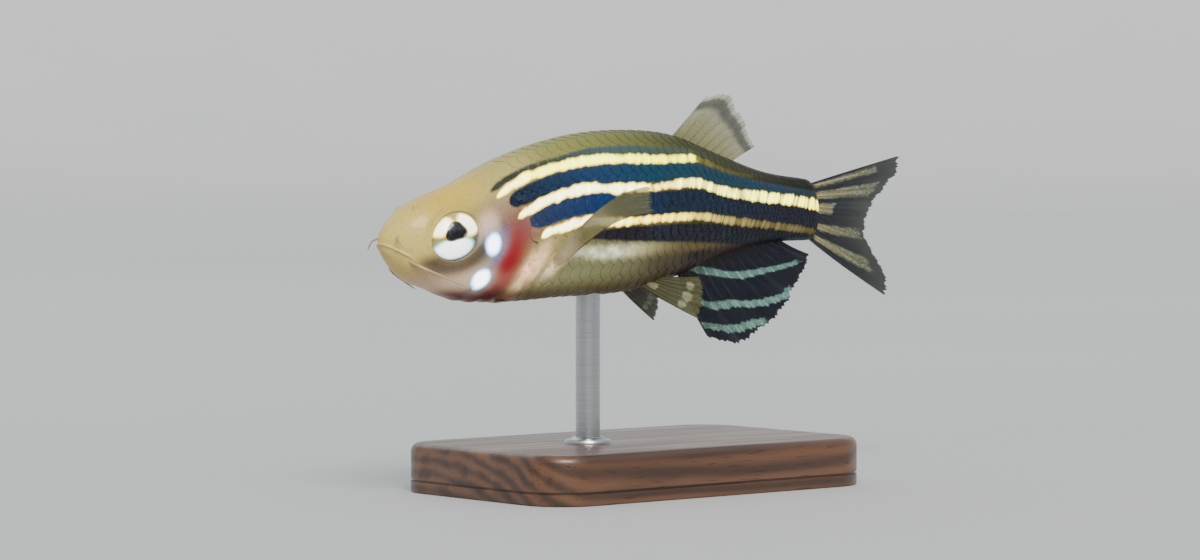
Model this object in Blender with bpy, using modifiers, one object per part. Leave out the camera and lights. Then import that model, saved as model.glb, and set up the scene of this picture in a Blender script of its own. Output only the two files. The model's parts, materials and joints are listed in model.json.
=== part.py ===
"""A zebra danio at life size, swimming, held by a plain display stand.

The fish is shaped straight, in its own space: x runs from the snout tip to the tail, y towards
the fish's right side and z up from the body's axis. Each piece is then posed: banked a little,
nose down, and bent sideways along an arc. In the scene z = 0 is the underside of the stand.
"""

import math

import bmesh
import bpy
import numpy as np
from mathutils import Matrix, Vector

MM = 0.001
GAP = 0.3 * MM  # between pieces that touch

# The body, in millimetres: distance from the snout tip, height of the back, depth of the belly
# and half the width. The profile is that of a deep-chested adult female.
BODY_STATIONS = np.array(
    (
        (0.0, 1.75, -1.00, 1.25),
        (1.2, 2.12, -1.95, 1.62),
        (2.9, 2.46, -2.88, 2.02),
        (4.5, 2.75, -3.78, 2.30),
        (8.1, 3.85, -4.58, 2.78),
        (12.3, 4.72, -4.78, 2.98),
        (17.0, 5.12, -4.75, 2.86),
        (21.6, 4.88, -3.90, 2.22),
        (26.0, 3.62, -2.62, 1.55),
        (30.0, 2.56, -1.96, 1.10),
        (35.6, 1.92, -1.82, 0.72),
    )
)
STANDARD_LENGTH = 35.0 * MM
BODY_LENGTH = 35.6 * MM
SNOUT_HEIGHT = 0.37 * MM
NOSE_ROUND = 2.4 * MM
TAIL_ROUND = 1.0 * MM
MIDDLE_SHARE = 0.52  # the widest level, as a share of the depth above the belly
FULLNESS = 2.3  # exponent of the cross-section; 2 is an ellipse
BODY_SEGMENTS = 32
BODY_RINGS = 44

# Where the body is parted, in millimetres
HEAD_CENTRE = (4.4, -0.6)
HEAD_RADII = (4.45, 6.6)
TAIL_CUT = 26.5
JAW_OUTLINE = ((-1.0, 1.21), (1.3, -0.80), (3.0, -2.75), (3.9, -4.6), (-1.0, -4.6))
GILL_CENTRE = (8.0, -1.15)
GILL_RADII = (1.8, 2.55)
GILL_THICKNESS = 0.6

EYE_CENTRE = (3.92, 1.76, -0.15)
EYE_RADII = (1.6, 0.92, 1.5)
EYE_TURN = math.radians(10)  # how far each eye looks ahead of straight sideways
NOSTRIL_CENTRE = (1.95, 0.95, 1.95)
NOSTRIL_RADII = (0.32, 0.24, 0.24)
LIP_RADIUS = 0.2
BARBEL_ROOT = 0.25
BARBEL_TIP = 0.07
MOUTH_CORNER = 1.25
MOUTH_SLOPE = 0.875
MOUTH_FRONT = 0.34
LIP_RISE = 0.15  # half the height of the opening between the lips
JAW_LIP_DROP = 0.1  # how much lower the jaw's lip lies than the mirrored upper lip
GILL_FLOOR_PLACE = 7.0  # where the gill cover's thickness is taken off the half width
CUT_REACH = 20.0 * MM  # cutters reach this far past the fish

# Fins: membranes carry one ridge for each ray
MEMBRANE = 0.5 * MM
RAY_FROM_TAIL_END = 0.5 * MM  # the tail fin's rays start this far inside the tail stem
RIDGE = 0.2 * MM
TIP_THICKNESS = 0.22 * MM
COLUMNS_PER_RAY = 3
MEMBRANE_NOTCH = 0.035  # how far the edge draws back between rays, as a share of the ray

# The pose
HEAD_TURN = math.radians(-8)
TAIL_TURN = math.radians(9)
BANK = math.radians(4)
NOSE_DROP = 1.9 * MM
LEVEL_FROM = 17.0 * MM
AXIS_HEIGHT = 17.0 * MM

# The stand
BASE_SIZE = (26.0, 16.0, 3.0)
BASE_CORNER = 3.0
BASE_EDGE = 0.5
BASE_UNDER = 19.0 * MM  # the place along the fish that is over the middle of the base
ROD_PLACE = 14.8 * MM  # the place along the fish that the rod holds
ROD_RADIUS = 0.75 * MM
SOCKET_FLOOR = 0.8 * MM

SIDES = {"left": -1, "right": 1}

# The pectoral fins: angles of the first and last ray and their bend, in degrees, how far the tip
# stands off, and how far the last ray's tip is spread outwards and ahead
PECTORAL_POSES = {
    "left": ((67, 60), 66, 1.5, (2.4, 2.0)),
    "right": ((50, 34), 46, 3.6, (0.8, 0.4)),
}
PECTORAL_ROOT = ((10.0, -2.9), (10.35, -3.45))  # the first and the last ray's roots, as (x, z)
PECTORAL_LENGTH = 7.8
LAST_RAY = 0.9  # length of the pectoral fin's last ray, as a share of its first one's


def smooth(x, xs, ys):
    """Height at x of a cubic curve through the points (xs, ys), level with their trend at each."""
    slopes = np.gradient(ys, xs)
    i = int(np.clip(np.searchsorted(xs, x) - 1, 0, len(xs) - 2))
    step = xs[i + 1] - xs[i]
    t = float(np.clip((x - xs[i]) / step, 0, 1))
    rise = ys[i + 1] - ys[i]
    start = slopes[i] * step
    end = slopes[i + 1] * step
    return ys[i] + t * (start + t * (3 * rise - 2 * start - end + t * (start + end - 2 * rise)))


def mix(a, b, share):
    return a + (b - a) * share


def station_curve(column, x):
    return smooth(x / MM, BODY_STATIONS[:, 0], BODY_STATIONS[:, column]) * MM


def end_rounding(x):
    """0 at the body's two ends, rising to 1 where their rounding is over."""
    nose = 1 - min(1, max(0, x) / NOSE_ROUND)
    tail = 1 - min(1, max(0, BODY_LENGTH - x) / TAIL_ROUND)
    return math.sqrt(max(0, 1 - nose**2)) * math.sqrt(max(0, 1 - tail**2))


def end_level(x):
    return SNOUT_HEIGHT * (1 - min(1, max(0, x) / NOSE_ROUND))


def back(x):
    level = end_level(x)
    return level + (station_curve(1, x) - level) * end_rounding(x)


def belly(x):
    level = end_level(x)
    return level + (station_curve(2, x) - level) * end_rounding(x)


def half_width(x):
    return station_curve(3, x) * end_rounding(x)


def middle(x):
    return mix(belly(x), back(x), MIDDLE_SHARE)


def body_point(x, turn):
    """Point of the body's surface; a turn of 0 is the back, a quarter turn the right flank."""
    across = math.copysign(abs(math.sin(turn)) ** (2 / FULLNESS), math.sin(turn))
    up = math.copysign(abs(math.cos(turn)) ** (2 / FULLNESS), math.cos(turn))
    height = back(x) - middle(x) if up > 0 else middle(x) - belly(x)
    return Vector((x, half_width(x) * across, middle(x) + height * up))


def flank(x, z):
    """How far the body's side is from its middle plane at x and height z."""
    height = back(x) - middle(x) if z > middle(x) else middle(x) - belly(x)
    level = min(1, abs(z - middle(x)) / max(height, 1e-9))
    return half_width(x) * (1 - level**FULLNESS) ** (1 / FULLNESS)


def lean(x):
    """How far the nose-down pose lowers the body at x."""
    return -NOSE_DROP * max(0, 1 - x / LEVEL_FROM) ** 2


def arc_point(x):
    """Place on the ground plan of the body's axis at x, and its heading."""
    bend = (TAIL_TURN - HEAD_TURN) / STANDARD_LENGTH
    heading = HEAD_TURN + bend * x
    along = (math.sin(heading) - math.sin(HEAD_TURN)) / bend
    aside = (math.cos(HEAD_TURN) - math.cos(heading)) / bend
    return Vector((along, aside, 0)), heading


def posed(point):
    """Where a point of the straight fish is once the fish is banked, tipped and bent."""
    place, heading = arc_point(point.x)
    origin, _ = arc_point(BASE_UNDER)
    across = point.y * math.cos(BANK) + point.z * math.sin(BANK)
    up = point.z * math.cos(BANK) - point.y * math.sin(BANK)
    sideways = Vector((-math.sin(heading), math.cos(heading), 0))
    height = Vector((0, 0, AXIS_HEIGHT + lean(point.x) + up))
    return place - origin + sideways * across + height


def clear_scene():
    for obj in list(bpy.data.objects):
        bpy.data.objects.remove(obj, do_unlink=True)


def collection(name):
    made = bpy.data.collections.new(name)
    bpy.context.scene.collection.children.link(made)
    return made


def material(name, colour, roughness, metallic=0.0, alpha=1.0):
    made = bpy.data.materials.new(name)
    made.use_nodes = True
    surface = made.node_tree.nodes["Principled BSDF"]
    surface.inputs["Base Color"].default_value = (*colour, 1)
    surface.inputs["Roughness"].default_value = roughness
    surface.inputs["Metallic"].default_value = metallic
    surface.inputs["Alpha"].default_value = alpha
    return made


def from_bmesh(name, bm, group):
    mesh = bpy.data.meshes.new(name)
    bm.to_mesh(mesh)
    bm.free()
    obj = bpy.data.objects.new(name, mesh)
    group.objects.link(obj)
    return obj


def as_cutter(obj):
    obj.hide_render = True
    obj.display_type = "WIRE"
    return obj


def duplicate(obj, name, group):
    copy = bpy.data.objects.new(name, obj.data.copy())
    group.objects.link(copy)
    return copy


def bake(obj):
    """Gives the object the mesh that its modifiers make, with its caps welded."""
    bpy.context.view_layer.update()
    graph = bpy.context.evaluated_depsgraph_get()
    mesh = bpy.data.meshes.new_from_object(obj.evaluated_get(graph))
    bm = bmesh.new()
    bm.from_mesh(mesh)
    bmesh.ops.remove_doubles(bm, verts=bm.verts, dist=0.0001 * MM)
    bm.to_mesh(mesh)
    bm.free()
    name = obj.name
    place = obj.matrix_world.copy()
    groups = list(obj.users_collection)
    bpy.data.objects.remove(obj)
    made = bpy.data.objects.new(name, mesh)
    made.matrix_world = place
    for group in groups:
        group.objects.link(made)
    return made


def boolean(obj, operation, tool, solver="EXACT"):
    modifier = obj.modifiers.new(operation.lower(), "BOOLEAN")
    modifier.operation = operation
    modifier.object = tool
    modifier.solver = solver
    return bake(obj)


def unite(obj, pieces, group):
    """Joins pieces to the object with one union, then removes them."""
    joined = bpy.data.collections.new(obj.name + "_pieces")
    group.children.link(joined)
    for piece in pieces:
        for holder in list(piece.users_collection):
            holder.objects.unlink(piece)
        joined.objects.link(piece)
    modifier = obj.modifiers.new("union", "BOOLEAN")
    modifier.operation = "UNION"
    modifier.operand_type = "COLLECTION"
    modifier.collection = joined
    made = bake(obj)
    for piece in list(joined.objects):
        bpy.data.objects.remove(piece)
    bpy.data.collections.remove(joined)
    return made


def keep_largest(obj):
    """Drops every surface of the object but the one with the most faces."""
    bm = bmesh.new()
    bm.from_mesh(obj.data)
    unseen = set(bm.faces)
    parts = []
    while unseen:
        part = set()
        ahead = [unseen.pop()]
        while ahead:
            face = ahead.pop()
            part.add(face)
            for edge in face.edges:
                for other in edge.link_faces:
                    if other in unseen:
                        unseen.discard(other)
                        ahead.append(other)
        parts.append(part)
    parts.sort(key=len)
    scraps = [face for part in parts[:-1] for face in part]
    bmesh.ops.delete(bm, geom=scraps, context="FACES")
    bm.to_mesh(obj.data)
    bm.free()
    return obj


def pose(obj):
    """Moves a finished piece of the straight fish to its place in the scene."""
    for vertex in obj.data.vertices:
        vertex.co = posed(vertex.co)
    return obj


def finish(obj, paint, holder, origin=None):
    """Shades the piece, gives it its material and sets its origin at its root."""
    root = origin or Vector(np.mean([v.co for v in obj.data.vertices], axis=0))
    obj.data.transform(Matrix.Translation(-root))
    obj.location = root
    obj.parent = holder
    obj.data.materials.clear()
    obj.data.materials.append(paint)
    obj.data.shade_smooth()
    obj.data.set_sharp_from_angle(angle=math.radians(40))
    return obj


def body_form(name, group, swell=0.0, squeeze=1.0):
    """The whole body as one closed skin, swollen outwards or squeezed sideways for a cutter."""
    bm = bmesh.new()
    bmesh.ops.create_uvsphere(
        bm, u_segments=BODY_SEGMENTS, v_segments=BODY_RINGS, radius=1
    )
    for vertex in bm.verts:
        x = BODY_LENGTH * (1 - vertex.co.z) / 2
        vertex.co = body_point(x, math.atan2(vertex.co.y, vertex.co.x))
        vertex.co.y *= squeeze
    bm.normal_update()
    for vertex, normal in [(v, v.normal.copy()) for v in bm.verts]:
        vertex.co += normal * swell
    return from_bmesh(name, bm, group)


def oval_prism(name, centre, radii, grow, group):
    """An oval seen from the side, carried right through the body."""
    bm = bmesh.new()
    bmesh.ops.create_cone(
        bm, cap_ends=True, segments=56, radius1=1, radius2=1, depth=CUT_REACH
    )
    size = Vector((radii[0] * MM + grow, radii[1] * MM + grow, 1))
    bmesh.ops.scale(bm, vec=size, verts=bm.verts)
    bmesh.ops.rotate(bm, matrix=Matrix.Rotation(math.pi / 2, 3, "X"), verts=bm.verts)
    place = Vector((centre[0] * MM, 0, centre[1] * MM))
    bmesh.ops.translate(bm, vec=place, verts=bm.verts)
    return as_cutter(from_bmesh(name, bm, group))


def outline_prism(name, outline, shift, group):
    """A side-view outline carried right through the body."""
    bm = bmesh.new()
    corners = [
        bm.verts.new((x * MM + shift[0], -CUT_REACH / 2, z * MM + shift[1])) for x, z in outline
    ]
    face = bm.faces.new(corners)
    made = bmesh.ops.extrude_face_region(bm, geom=[face])["geom"]
    far = [item for item in made if isinstance(item, bmesh.types.BMVert)]
    bmesh.ops.translate(bm, vec=Vector((0, CUT_REACH, 0)), verts=far)
    bmesh.ops.recalc_face_normals(bm, faces=bm.faces)
    return as_cutter(from_bmesh(name, bm, group))


def box(name, x_range, y_range, group):
    """A cutter between two places along the fish and two across it, and tall enough for all of it."""
    low = Vector((x_range[0], y_range[0], -CUT_REACH))
    high = Vector((x_range[1], y_range[1], CUT_REACH))
    bm = bmesh.new()
    bmesh.ops.create_cube(bm, size=1)
    bmesh.ops.scale(bm, vec=high - low, verts=bm.verts)
    bmesh.ops.translate(bm, vec=(low + high) / 2, verts=bm.verts)
    return as_cutter(from_bmesh(name, bm, group))


def ball(name, centre, radii, group, segments, rings):
    """An ellipsoid whose poles point sideways."""
    bm = bmesh.new()
    bmesh.ops.create_uvsphere(bm, u_segments=segments, v_segments=rings, radius=1)
    bmesh.ops.rotate(bm, matrix=Matrix.Rotation(math.pi / 2, 3, "X"), verts=bm.verts)
    bmesh.ops.scale(bm, vec=Vector(radii) * MM, verts=bm.verts)
    bmesh.ops.translate(bm, vec=Vector(centre) * MM, verts=bm.verts)
    return from_bmesh(name, bm, group)


def eye_ball(name, side, grow, group, segments, rings):
    """An eye, or with some growth the socket that it sits in."""
    sign = SIDES[side]
    radii = [radius + grow for radius in EYE_RADII]
    eye = ball(name, (0, 0, 0), radii, group, segments, rings)
    x, y, z = EYE_CENTRE
    eye.data.transform(Matrix.Rotation(sign * EYE_TURN, 4, "Z"))
    eye.data.transform(Matrix.Translation(Vector((x, sign * y, z)) * MM))
    return eye


def tapered_tube(name, points, radii, group, resolution):
    """A round closed tube along points, with its own radius at each."""
    curve = bpy.data.curves.new(name, "CURVE")
    curve.dimensions = "3D"
    curve.bevel_depth = 1
    curve.bevel_resolution = resolution
    curve.use_fill_caps = True
    line = curve.splines.new("POLY")
    line.points.add(len(points) - 1)
    for target, point, radius in zip(line.points, points, radii):
        target.co = (*point, 1)
        target.radius = radius
    obj = bpy.data.objects.new(name, curve)
    group.objects.link(obj)
    return bake(obj)


def mouth_point(share, height):
    """Where the mouth's slanting line meets the skin; share runs from -1 to 1, corner to corner."""

    def line(x):
        return (MOUTH_FRONT + height) * MM - MOUTH_SLOPE * x

    low, high = 0, MOUTH_CORNER * MM
    aside = max(abs(share), 0.001) * flank(high, line(high))
    for _ in range(30):
        x = (low + high) / 2
        if flank(x, line(x)) >= aside:
            high = x
        else:
            low = x
    return Vector((high, math.copysign(aside, share), line(high)))


def lip(name, height, group):
    """A soft rim round the mouth, from corner to corner."""
    shares = np.linspace(-1, 1, 15)
    points = [mouth_point(share, height) for share in shares]
    radii = [LIP_RADIUS * MM * mix(1, 0.55, abs(share) ** 3) for share in shares]
    return tapered_tube(name, points, radii, group, 1)


def fin(name, place, rays, rows, body_cutter, group):
    """A membrane with a ridge for each ray; place gives the point for a share of rays and of length.

    A fin this thin and curved is cut by the MANIFOLD solver, because EXACT can leave nothing of it.
    """
    columns = COLUMNS_PER_RAY * (rays - 1)
    bm = bmesh.new()
    bmesh.ops.create_grid(bm, x_segments=columns, y_segments=rows, size=1)
    weights = bm.verts.layers.deform.verify()
    fullest = MEMBRANE + RIDGE
    for vertex in bm.verts:
        across = (vertex.co.x + 1) / 2
        along = (vertex.co.y + 1) / 2
        on_ray = round(across * columns) % COLUMNS_PER_RAY == 0
        thickness = mix(MEMBRANE, TIP_THICKNESS, along**3)
        if on_ray:
            thickness += RIDGE * (1 - along**2)
        else:
            along *= 1 - MEMBRANE_NOTCH
        vertex[weights][0] = thickness / fullest
        vertex.co = place(across, along)
    bmesh.ops.triangulate(bm, faces=bm.faces, quad_method="FIXED")
    obj = from_bmesh(name, bm, group)
    obj.vertex_groups.new(name="thickness")
    shell = obj.modifiers.new("thickness", "SOLIDIFY")
    shell.thickness = fullest
    shell.offset = 0
    shell.vertex_group = "thickness"
    return keep_largest(boolean(bake(obj), "DIFFERENCE", body_cutter, "MANIFOLD"))


def curved_ray(root, angle, bend, reach):
    """Side-view point at a reach along a ray that starts at an angle and bends as it goes."""
    slope = angle - bend / 2
    return root[0] + reach * math.cos(slope), root[1] + reach * math.sin(slope)


def median_fin(span, edge, sink, leans, bend, outline, sway):
    """Place function of a fin on the back or belly line; leans are in degrees from the tail's way.

    The outline gives the rays' lengths, in millimetres, at shares of the way along the fin's root.
    """

    def place(across, along):
        x = mix(*span, across) * MM
        root = (x, edge(x) - sink * MM)
        angle = math.radians(mix(*leans, across))
        reach = smooth(across, *outline) * MM * along
        x, z = curved_ray(root, angle, math.radians(bend) * along, reach)
        return Vector((x, sway * MM * along**2, z))

    return place


def dorsal_place():
    shares = np.array((0, 0.12, 0.5, 1))
    lengths = np.array((5.6, 6.6, 6.1, 4.5))
    return median_fin((21.4, 26.2), back, 0.9, (40, 24), 8, (shares, lengths), 0.5)


def anal_place():
    shares = np.array((0, 0.15, 0.4, 0.7, 1))
    lengths = np.array((5.5, 6.7, 7.0, 6.1, 4.4))
    return median_fin((22.0, 30.2), belly, -0.9, (-72, -30), -12, (shares, lengths), -0.5)


def caudal_place(across, along):
    """The tail fin: rays fan out from the upright rear edge of the tail stem, longest outside."""
    root = (STANDARD_LENGTH - RAY_FROM_TAIL_END, mix(1.62, -1.58, across) * MM)
    angle = math.radians(mix(11, -30, across))
    shares = np.array((0, 0.1, 0.28, 0.5, 0.72, 0.9, 1))
    lengths = np.array((9.8, 9.3, 6.8, 5.3, 6.2, 8.1, 8.5))
    reach = smooth(across, shares, lengths) * MM * along
    x, z = curved_ray(root, angle, 0, reach)
    return Vector((x, -MM * along**2, z))


def pectoral_place(side):
    """Place function of a pectoral fin, raised along the flank from the low shoulder."""
    angles, bend, tip_clearance, (outwards, ahead) = PECTORAL_POSES[side]
    (first_x, first_z), (last_x, last_z) = PECTORAL_ROOT
    shares = np.array((0, 0.1, 0.3, 1))
    clearances = np.array((-0.7, 0.3, 0.95, tip_clearance))

    def place(across, along):
        root = (mix(first_x, last_x, across) * MM, mix(first_z, last_z, across) * MM)
        angle = math.radians(mix(*angles, across))
        reach = PECTORAL_LENGTH * mix(1, LAST_RAY, across**1.3) * MM * along
        x, z = curved_ray(root, angle, math.radians(bend) * along, reach)
        clear = (smooth(along, shares, clearances) + outwards * across * along) * MM
        return Vector((x - ahead * across * along * MM, SIDES[side] * (flank(x, z) + clear), z))

    return place


def pelvic_place(side):
    """Place function of a pelvic fin, swept back and down from the belly."""

    def place(across, along):
        x = mix(17.5, 18.7, across) * MM
        root = (x, belly(x) + 0.7 * MM)
        angle = math.radians(mix(-35, -8, across))
        reach = mix(5.2, 3.6, across**1.3) * MM * along
        x, z = curved_ray(root, angle, math.radians(-8) * along, reach)
        return Vector((x, side * mix(0.8, 2.0, along) * MM, z))

    return place


def barbel(name, points, group, body_cutter):
    """A feeler: thickest where it leaves the skin, ending in a fine tip."""
    shares = np.linspace(0, 1, 7)
    knots = np.linspace(0, 1, len(points))
    line = np.array(points)
    path = [Vector([smooth(s, knots, line[:, i]) * MM for i in range(3)]) for s in shares]
    radii = [mix(BARBEL_ROOT, BARBEL_TIP, s**0.8) * MM for s in shares]
    tube = tapered_tube(name, path, radii, group, 1)
    return keep_largest(boolean(tube, "DIFFERENCE", body_cutter))


def gill_core(spare):
    """How far the body is squeezed sideways to give what lies under the gill covers."""
    width = station_curve(3, GILL_FLOOR_PLACE * MM)
    return (width - GILL_THICKNESS * MM - spare) / width


def make_head(whole, parts, cutters):
    """The head: its rear edge is an oval, with sockets, nostrils, a jaw gap and gill recesses."""
    head = duplicate(whole, "head", parts)
    head = boolean(head, "INTERSECT", oval_prism("head_oval", HEAD_CENTRE, HEAD_RADII, 0, cutters))
    head = boolean(head, "DIFFERENCE", outline_prism("jaw_room", JAW_OUTLINE, (0, 0), cutters))
    core = as_cutter(body_form("recess_core", cutters, squeeze=gill_core(GAP)))
    recess = oval_prism("gill_recess", GILL_CENTRE, GILL_RADII, GAP, cutters)
    recess = boolean(recess, "DIFFERENCE", core)
    head = boolean(head, "DIFFERENCE", as_cutter(recess))
    head = unite(head, [lip("upper_lip", LIP_RISE + LIP_RADIUS, parts)], parts)
    for side, sign in SIDES.items():
        socket = as_cutter(eye_ball("socket_" + side, side, GAP / MM, cutters, 28, 16))
        head = boolean(head, "DIFFERENCE", socket)
        x, y, z = NOSTRIL_CENTRE
        pit = as_cutter(ball("nostril_" + side, (x, sign * y, z), NOSTRIL_RADII, cutters, 10, 6))
        head = boolean(head, "DIFFERENCE", pit)
    return keep_largest(head)


def make_jaw(whole, parts, cutters):
    """The lower jaw: what the head's slanting mouth line leaves in front and below."""
    jaw = duplicate(whole, "lower_jaw", parts)
    shift = (-GAP * 0.7, -GAP * 0.75)
    jaw = boolean(jaw, "INTERSECT", outline_prism("jaw_wedge", JAW_OUTLINE, shift, cutters))
    drop = LIP_RISE + LIP_RADIUS + JAW_LIP_DROP
    jaw = unite(jaw, [lip("lower_lip", -drop, parts)], parts)
    return keep_largest(jaw)


def make_gill_cover(whole, side, parts, cutters):
    """One gill cover: a plate of the head's side, rounded in front, flush with the skin."""
    cover = duplicate(whole, "gill_cover_" + side, parts)
    for tool in (
        oval_prism("cover_oval_" + side, GILL_CENTRE, GILL_RADII, 0, cutters),
        oval_prism("cover_rear_" + side, HEAD_CENTRE, HEAD_RADII, 0, cutters),
    ):
        cover = boolean(cover, "INTERSECT", tool)
    core = as_cutter(body_form("cover_core_" + side, cutters, squeeze=gill_core(0)))
    cover = boolean(cover, "DIFFERENCE", core)
    other_side = (-CUT_REACH, 0) if SIDES[side] > 0 else (0, CUT_REACH)
    half = box("cover_half_" + side, (-CUT_REACH, CUT_REACH), other_side, cutters)
    return keep_largest(boolean(cover, "DIFFERENCE", half))


def make_trunk(whole, parts, cutters):
    """The trunk: behind the head's oval and in front of the cut at the tail stem."""
    trunk = duplicate(whole, "trunk", parts)
    across = (-CUT_REACH, CUT_REACH)
    end = BODY_LENGTH + CUT_REACH
    for tool in (
        oval_prism("trunk_front", HEAD_CENTRE, HEAD_RADII, GAP, cutters),
        box("trunk_rear", (TAIL_CUT * MM, end), across, cutters),
        box("trunk_before", (-CUT_REACH, HEAD_CENTRE[0] * MM), across, cutters),
    ):
        trunk = boolean(trunk, "DIFFERENCE", tool)
    return keep_largest(trunk)


def make_tail_stem(whole, parts, cutters):
    """The tail stem: what is left behind the trunk, a gap away from it."""
    stem = duplicate(whole, "tail_stem", parts)
    start = TAIL_CUT * MM + GAP
    tool = box("stem_front", (-CUT_REACH, start), (-CUT_REACH, CUT_REACH), cutters)
    return keep_largest(boolean(stem, "DIFFERENCE", tool))


def bevel(bm, edges, width, segments):
    bmesh.ops.bevel(
        bm,
        geom=edges,
        offset=width,
        offset_type="OFFSET",
        segments=segments,
        profile=0.5,
        affect="EDGES",
        material=-1,
    )


def pillar(name, bottom, radius, height, group):
    """An upright round bar that starts at its bottom point."""
    bm = bmesh.new()
    bmesh.ops.create_cone(
        bm, cap_ends=True, segments=24, radius1=radius, radius2=radius, depth=height
    )
    bmesh.ops.translate(bm, vec=bottom + Vector((0, 0, height / 2)), verts=bm.verts)
    return from_bmesh(name, bm, group)


def make_base(parts, cutters, paint, socket_place):
    """The base: a plate with rounded corners, a softened upper edge and a socket for the rod."""
    bm = bmesh.new()
    bmesh.ops.create_cube(bm, size=1)
    bmesh.ops.scale(bm, vec=Vector(BASE_SIZE) * MM, verts=bm.verts)
    bmesh.ops.translate(bm, vec=Vector((0, 0, BASE_SIZE[2] * MM / 2)), verts=bm.verts)
    upright = [e for e in bm.edges if abs(e.verts[0].co.z - e.verts[1].co.z) > MM]
    bevel(bm, upright, BASE_CORNER * MM, 6)
    top = BASE_SIZE[2] * MM
    rim = [e for e in bm.edges if all(abs(v.co.z - top) < GAP for v in e.verts)]
    bevel(bm, rim, BASE_EDGE * MM, 3)
    base = from_bmesh("stand_base", bm, parts)
    bottom = Vector((socket_place.x, socket_place.y, SOCKET_FLOOR))
    socket = as_cutter(pillar("rod_socket", bottom, ROD_RADIUS + GAP, top * 2, cutters))
    base = boolean(base, "DIFFERENCE", socket)
    return finish(base, paint, None, Vector((0, 0, 0)))


def make_rod(parts, paint, place, body_cutter):
    """The rod: from the socket's floor up to the belly, its top shaped to the belly."""
    foot = Vector((place.x, place.y, SOCKET_FLOOR + GAP))
    rod = pillar("stand_rod", foot, ROD_RADIUS, AXIS_HEIGHT - foot.z, parts)
    rod = keep_largest(boolean(rod, "DIFFERENCE", body_cutter))
    return finish(rod, paint, None, foot)


def make_fish(parts, cutters, holder):
    whole = as_cutter(body_form("whole_body", cutters))
    swollen = as_cutter(body_form("body_and_gap", cutters, swell=GAP))
    skin = material("olive_skin", (0.33, 0.30, 0.16), 0.4)
    flanks = material("striped_flank", (0.25, 0.24, 0.18), 0.35, 0.2)
    pink = material("gill_pink", (0.62, 0.27, 0.24), 0.4)
    silver = material("eye_silver", (0.85, 0.85, 0.78), 0.15, 0.3)
    membrane = material("fin_membrane", (0.30, 0.34, 0.26), 0.4)

    pieces = {
        make_head(whole, parts, cutters): skin,
        make_jaw(whole, parts, cutters): skin,
        make_trunk(whole, parts, cutters): flanks,
        make_tail_stem(whole, parts, cutters): flanks,
        fin("dorsal_fin", dorsal_place(), 9, 8, swollen, parts): membrane,
        fin("anal_fin", anal_place(), 13, 8, swollen, parts): membrane,
        fin("caudal_fin", caudal_place, 18, 10, swollen, parts): membrane,
    }
    for side, sign in SIDES.items():
        pieces[eye_ball("eye_" + side, side, 0, parts, 24, 14)] = silver
        pieces[make_gill_cover(whole, side, parts, cutters)] = pink
        name = "pectoral_fin_" + side
        pieces[fin(name, pectoral_place(side), 9, 9, swollen, parts)] = membrane
        pieces[fin("pelvic_fin_" + side, pelvic_place(sign), 7, 6, swollen, parts)] = membrane
        long_path = ((1.1, sign * 0.9, -0.85), (1.9, sign * 2.0, -1.7), (3.9, sign * 2.75, -3.1))
        name = "maxillary_barbel_" + side
        pieces[barbel(name, long_path, parts, swollen)] = skin
        short_path = ((0.8, sign * 0.7, 0.6), (0.35, sign * 1.5, 0.5), (0.3, sign * 2.1, 0.0))
        name = "rostral_barbel_" + side
        pieces[barbel(name, short_path, parts, swollen)] = skin
    for piece, paint in pieces.items():
        finish(pose(piece), paint, holder)
    return pose(swollen)


def main():
    clear_scene()
    parts = collection("zebra_danio")
    cutters = collection("cutters")
    holder = bpy.data.objects.new("fish_on_its_stand", None)
    parts.objects.link(holder)
    body_cutter = make_fish(parts, cutters, holder)
    place = posed(Vector((ROD_PLACE, 0, belly(ROD_PLACE))))
    walnut = material("walnut", (0.16, 0.09, 0.05), 0.45)
    steel = material("steel", (0.6, 0.6, 0.6), 0.3, 1.0)
    make_base(parts, cutters, walnut, place)
    make_rod(parts, steel, place, body_cutter)


main()
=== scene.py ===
# %% [markdown]
# A zebra danio at life size, swimming, held by a museum stand. The solids of the fish and its stand
# are loaded first and stay as they are. They give every place and size, and this script dresses
# them: a skin with its scales, silvery eyes, rayed fins, feelers, and the finish of the stand.

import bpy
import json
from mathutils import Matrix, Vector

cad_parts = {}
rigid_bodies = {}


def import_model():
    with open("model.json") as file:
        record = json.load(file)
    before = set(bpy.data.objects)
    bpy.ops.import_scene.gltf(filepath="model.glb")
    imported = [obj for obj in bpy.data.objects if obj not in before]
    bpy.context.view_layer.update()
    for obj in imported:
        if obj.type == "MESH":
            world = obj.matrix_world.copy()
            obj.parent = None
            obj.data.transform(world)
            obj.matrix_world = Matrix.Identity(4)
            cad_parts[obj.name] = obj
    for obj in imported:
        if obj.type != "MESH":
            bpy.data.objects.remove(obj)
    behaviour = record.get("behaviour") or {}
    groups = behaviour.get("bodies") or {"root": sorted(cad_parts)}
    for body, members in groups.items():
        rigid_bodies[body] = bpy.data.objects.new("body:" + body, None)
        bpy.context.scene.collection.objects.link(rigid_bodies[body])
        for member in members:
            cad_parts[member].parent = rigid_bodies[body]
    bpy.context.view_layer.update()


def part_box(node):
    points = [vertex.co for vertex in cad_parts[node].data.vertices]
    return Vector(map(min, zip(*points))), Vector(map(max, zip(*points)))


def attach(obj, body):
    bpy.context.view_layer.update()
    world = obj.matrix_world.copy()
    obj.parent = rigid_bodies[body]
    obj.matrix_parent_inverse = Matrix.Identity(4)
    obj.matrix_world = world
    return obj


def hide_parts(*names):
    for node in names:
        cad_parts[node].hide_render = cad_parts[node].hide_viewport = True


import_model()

# %% Tools
import json
import math

import bmesh
import bpy
import numpy as np
from mathutils import Matrix, Vector

MM = 0.001
SIDES = {"left": -1, "right": 1}

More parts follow.
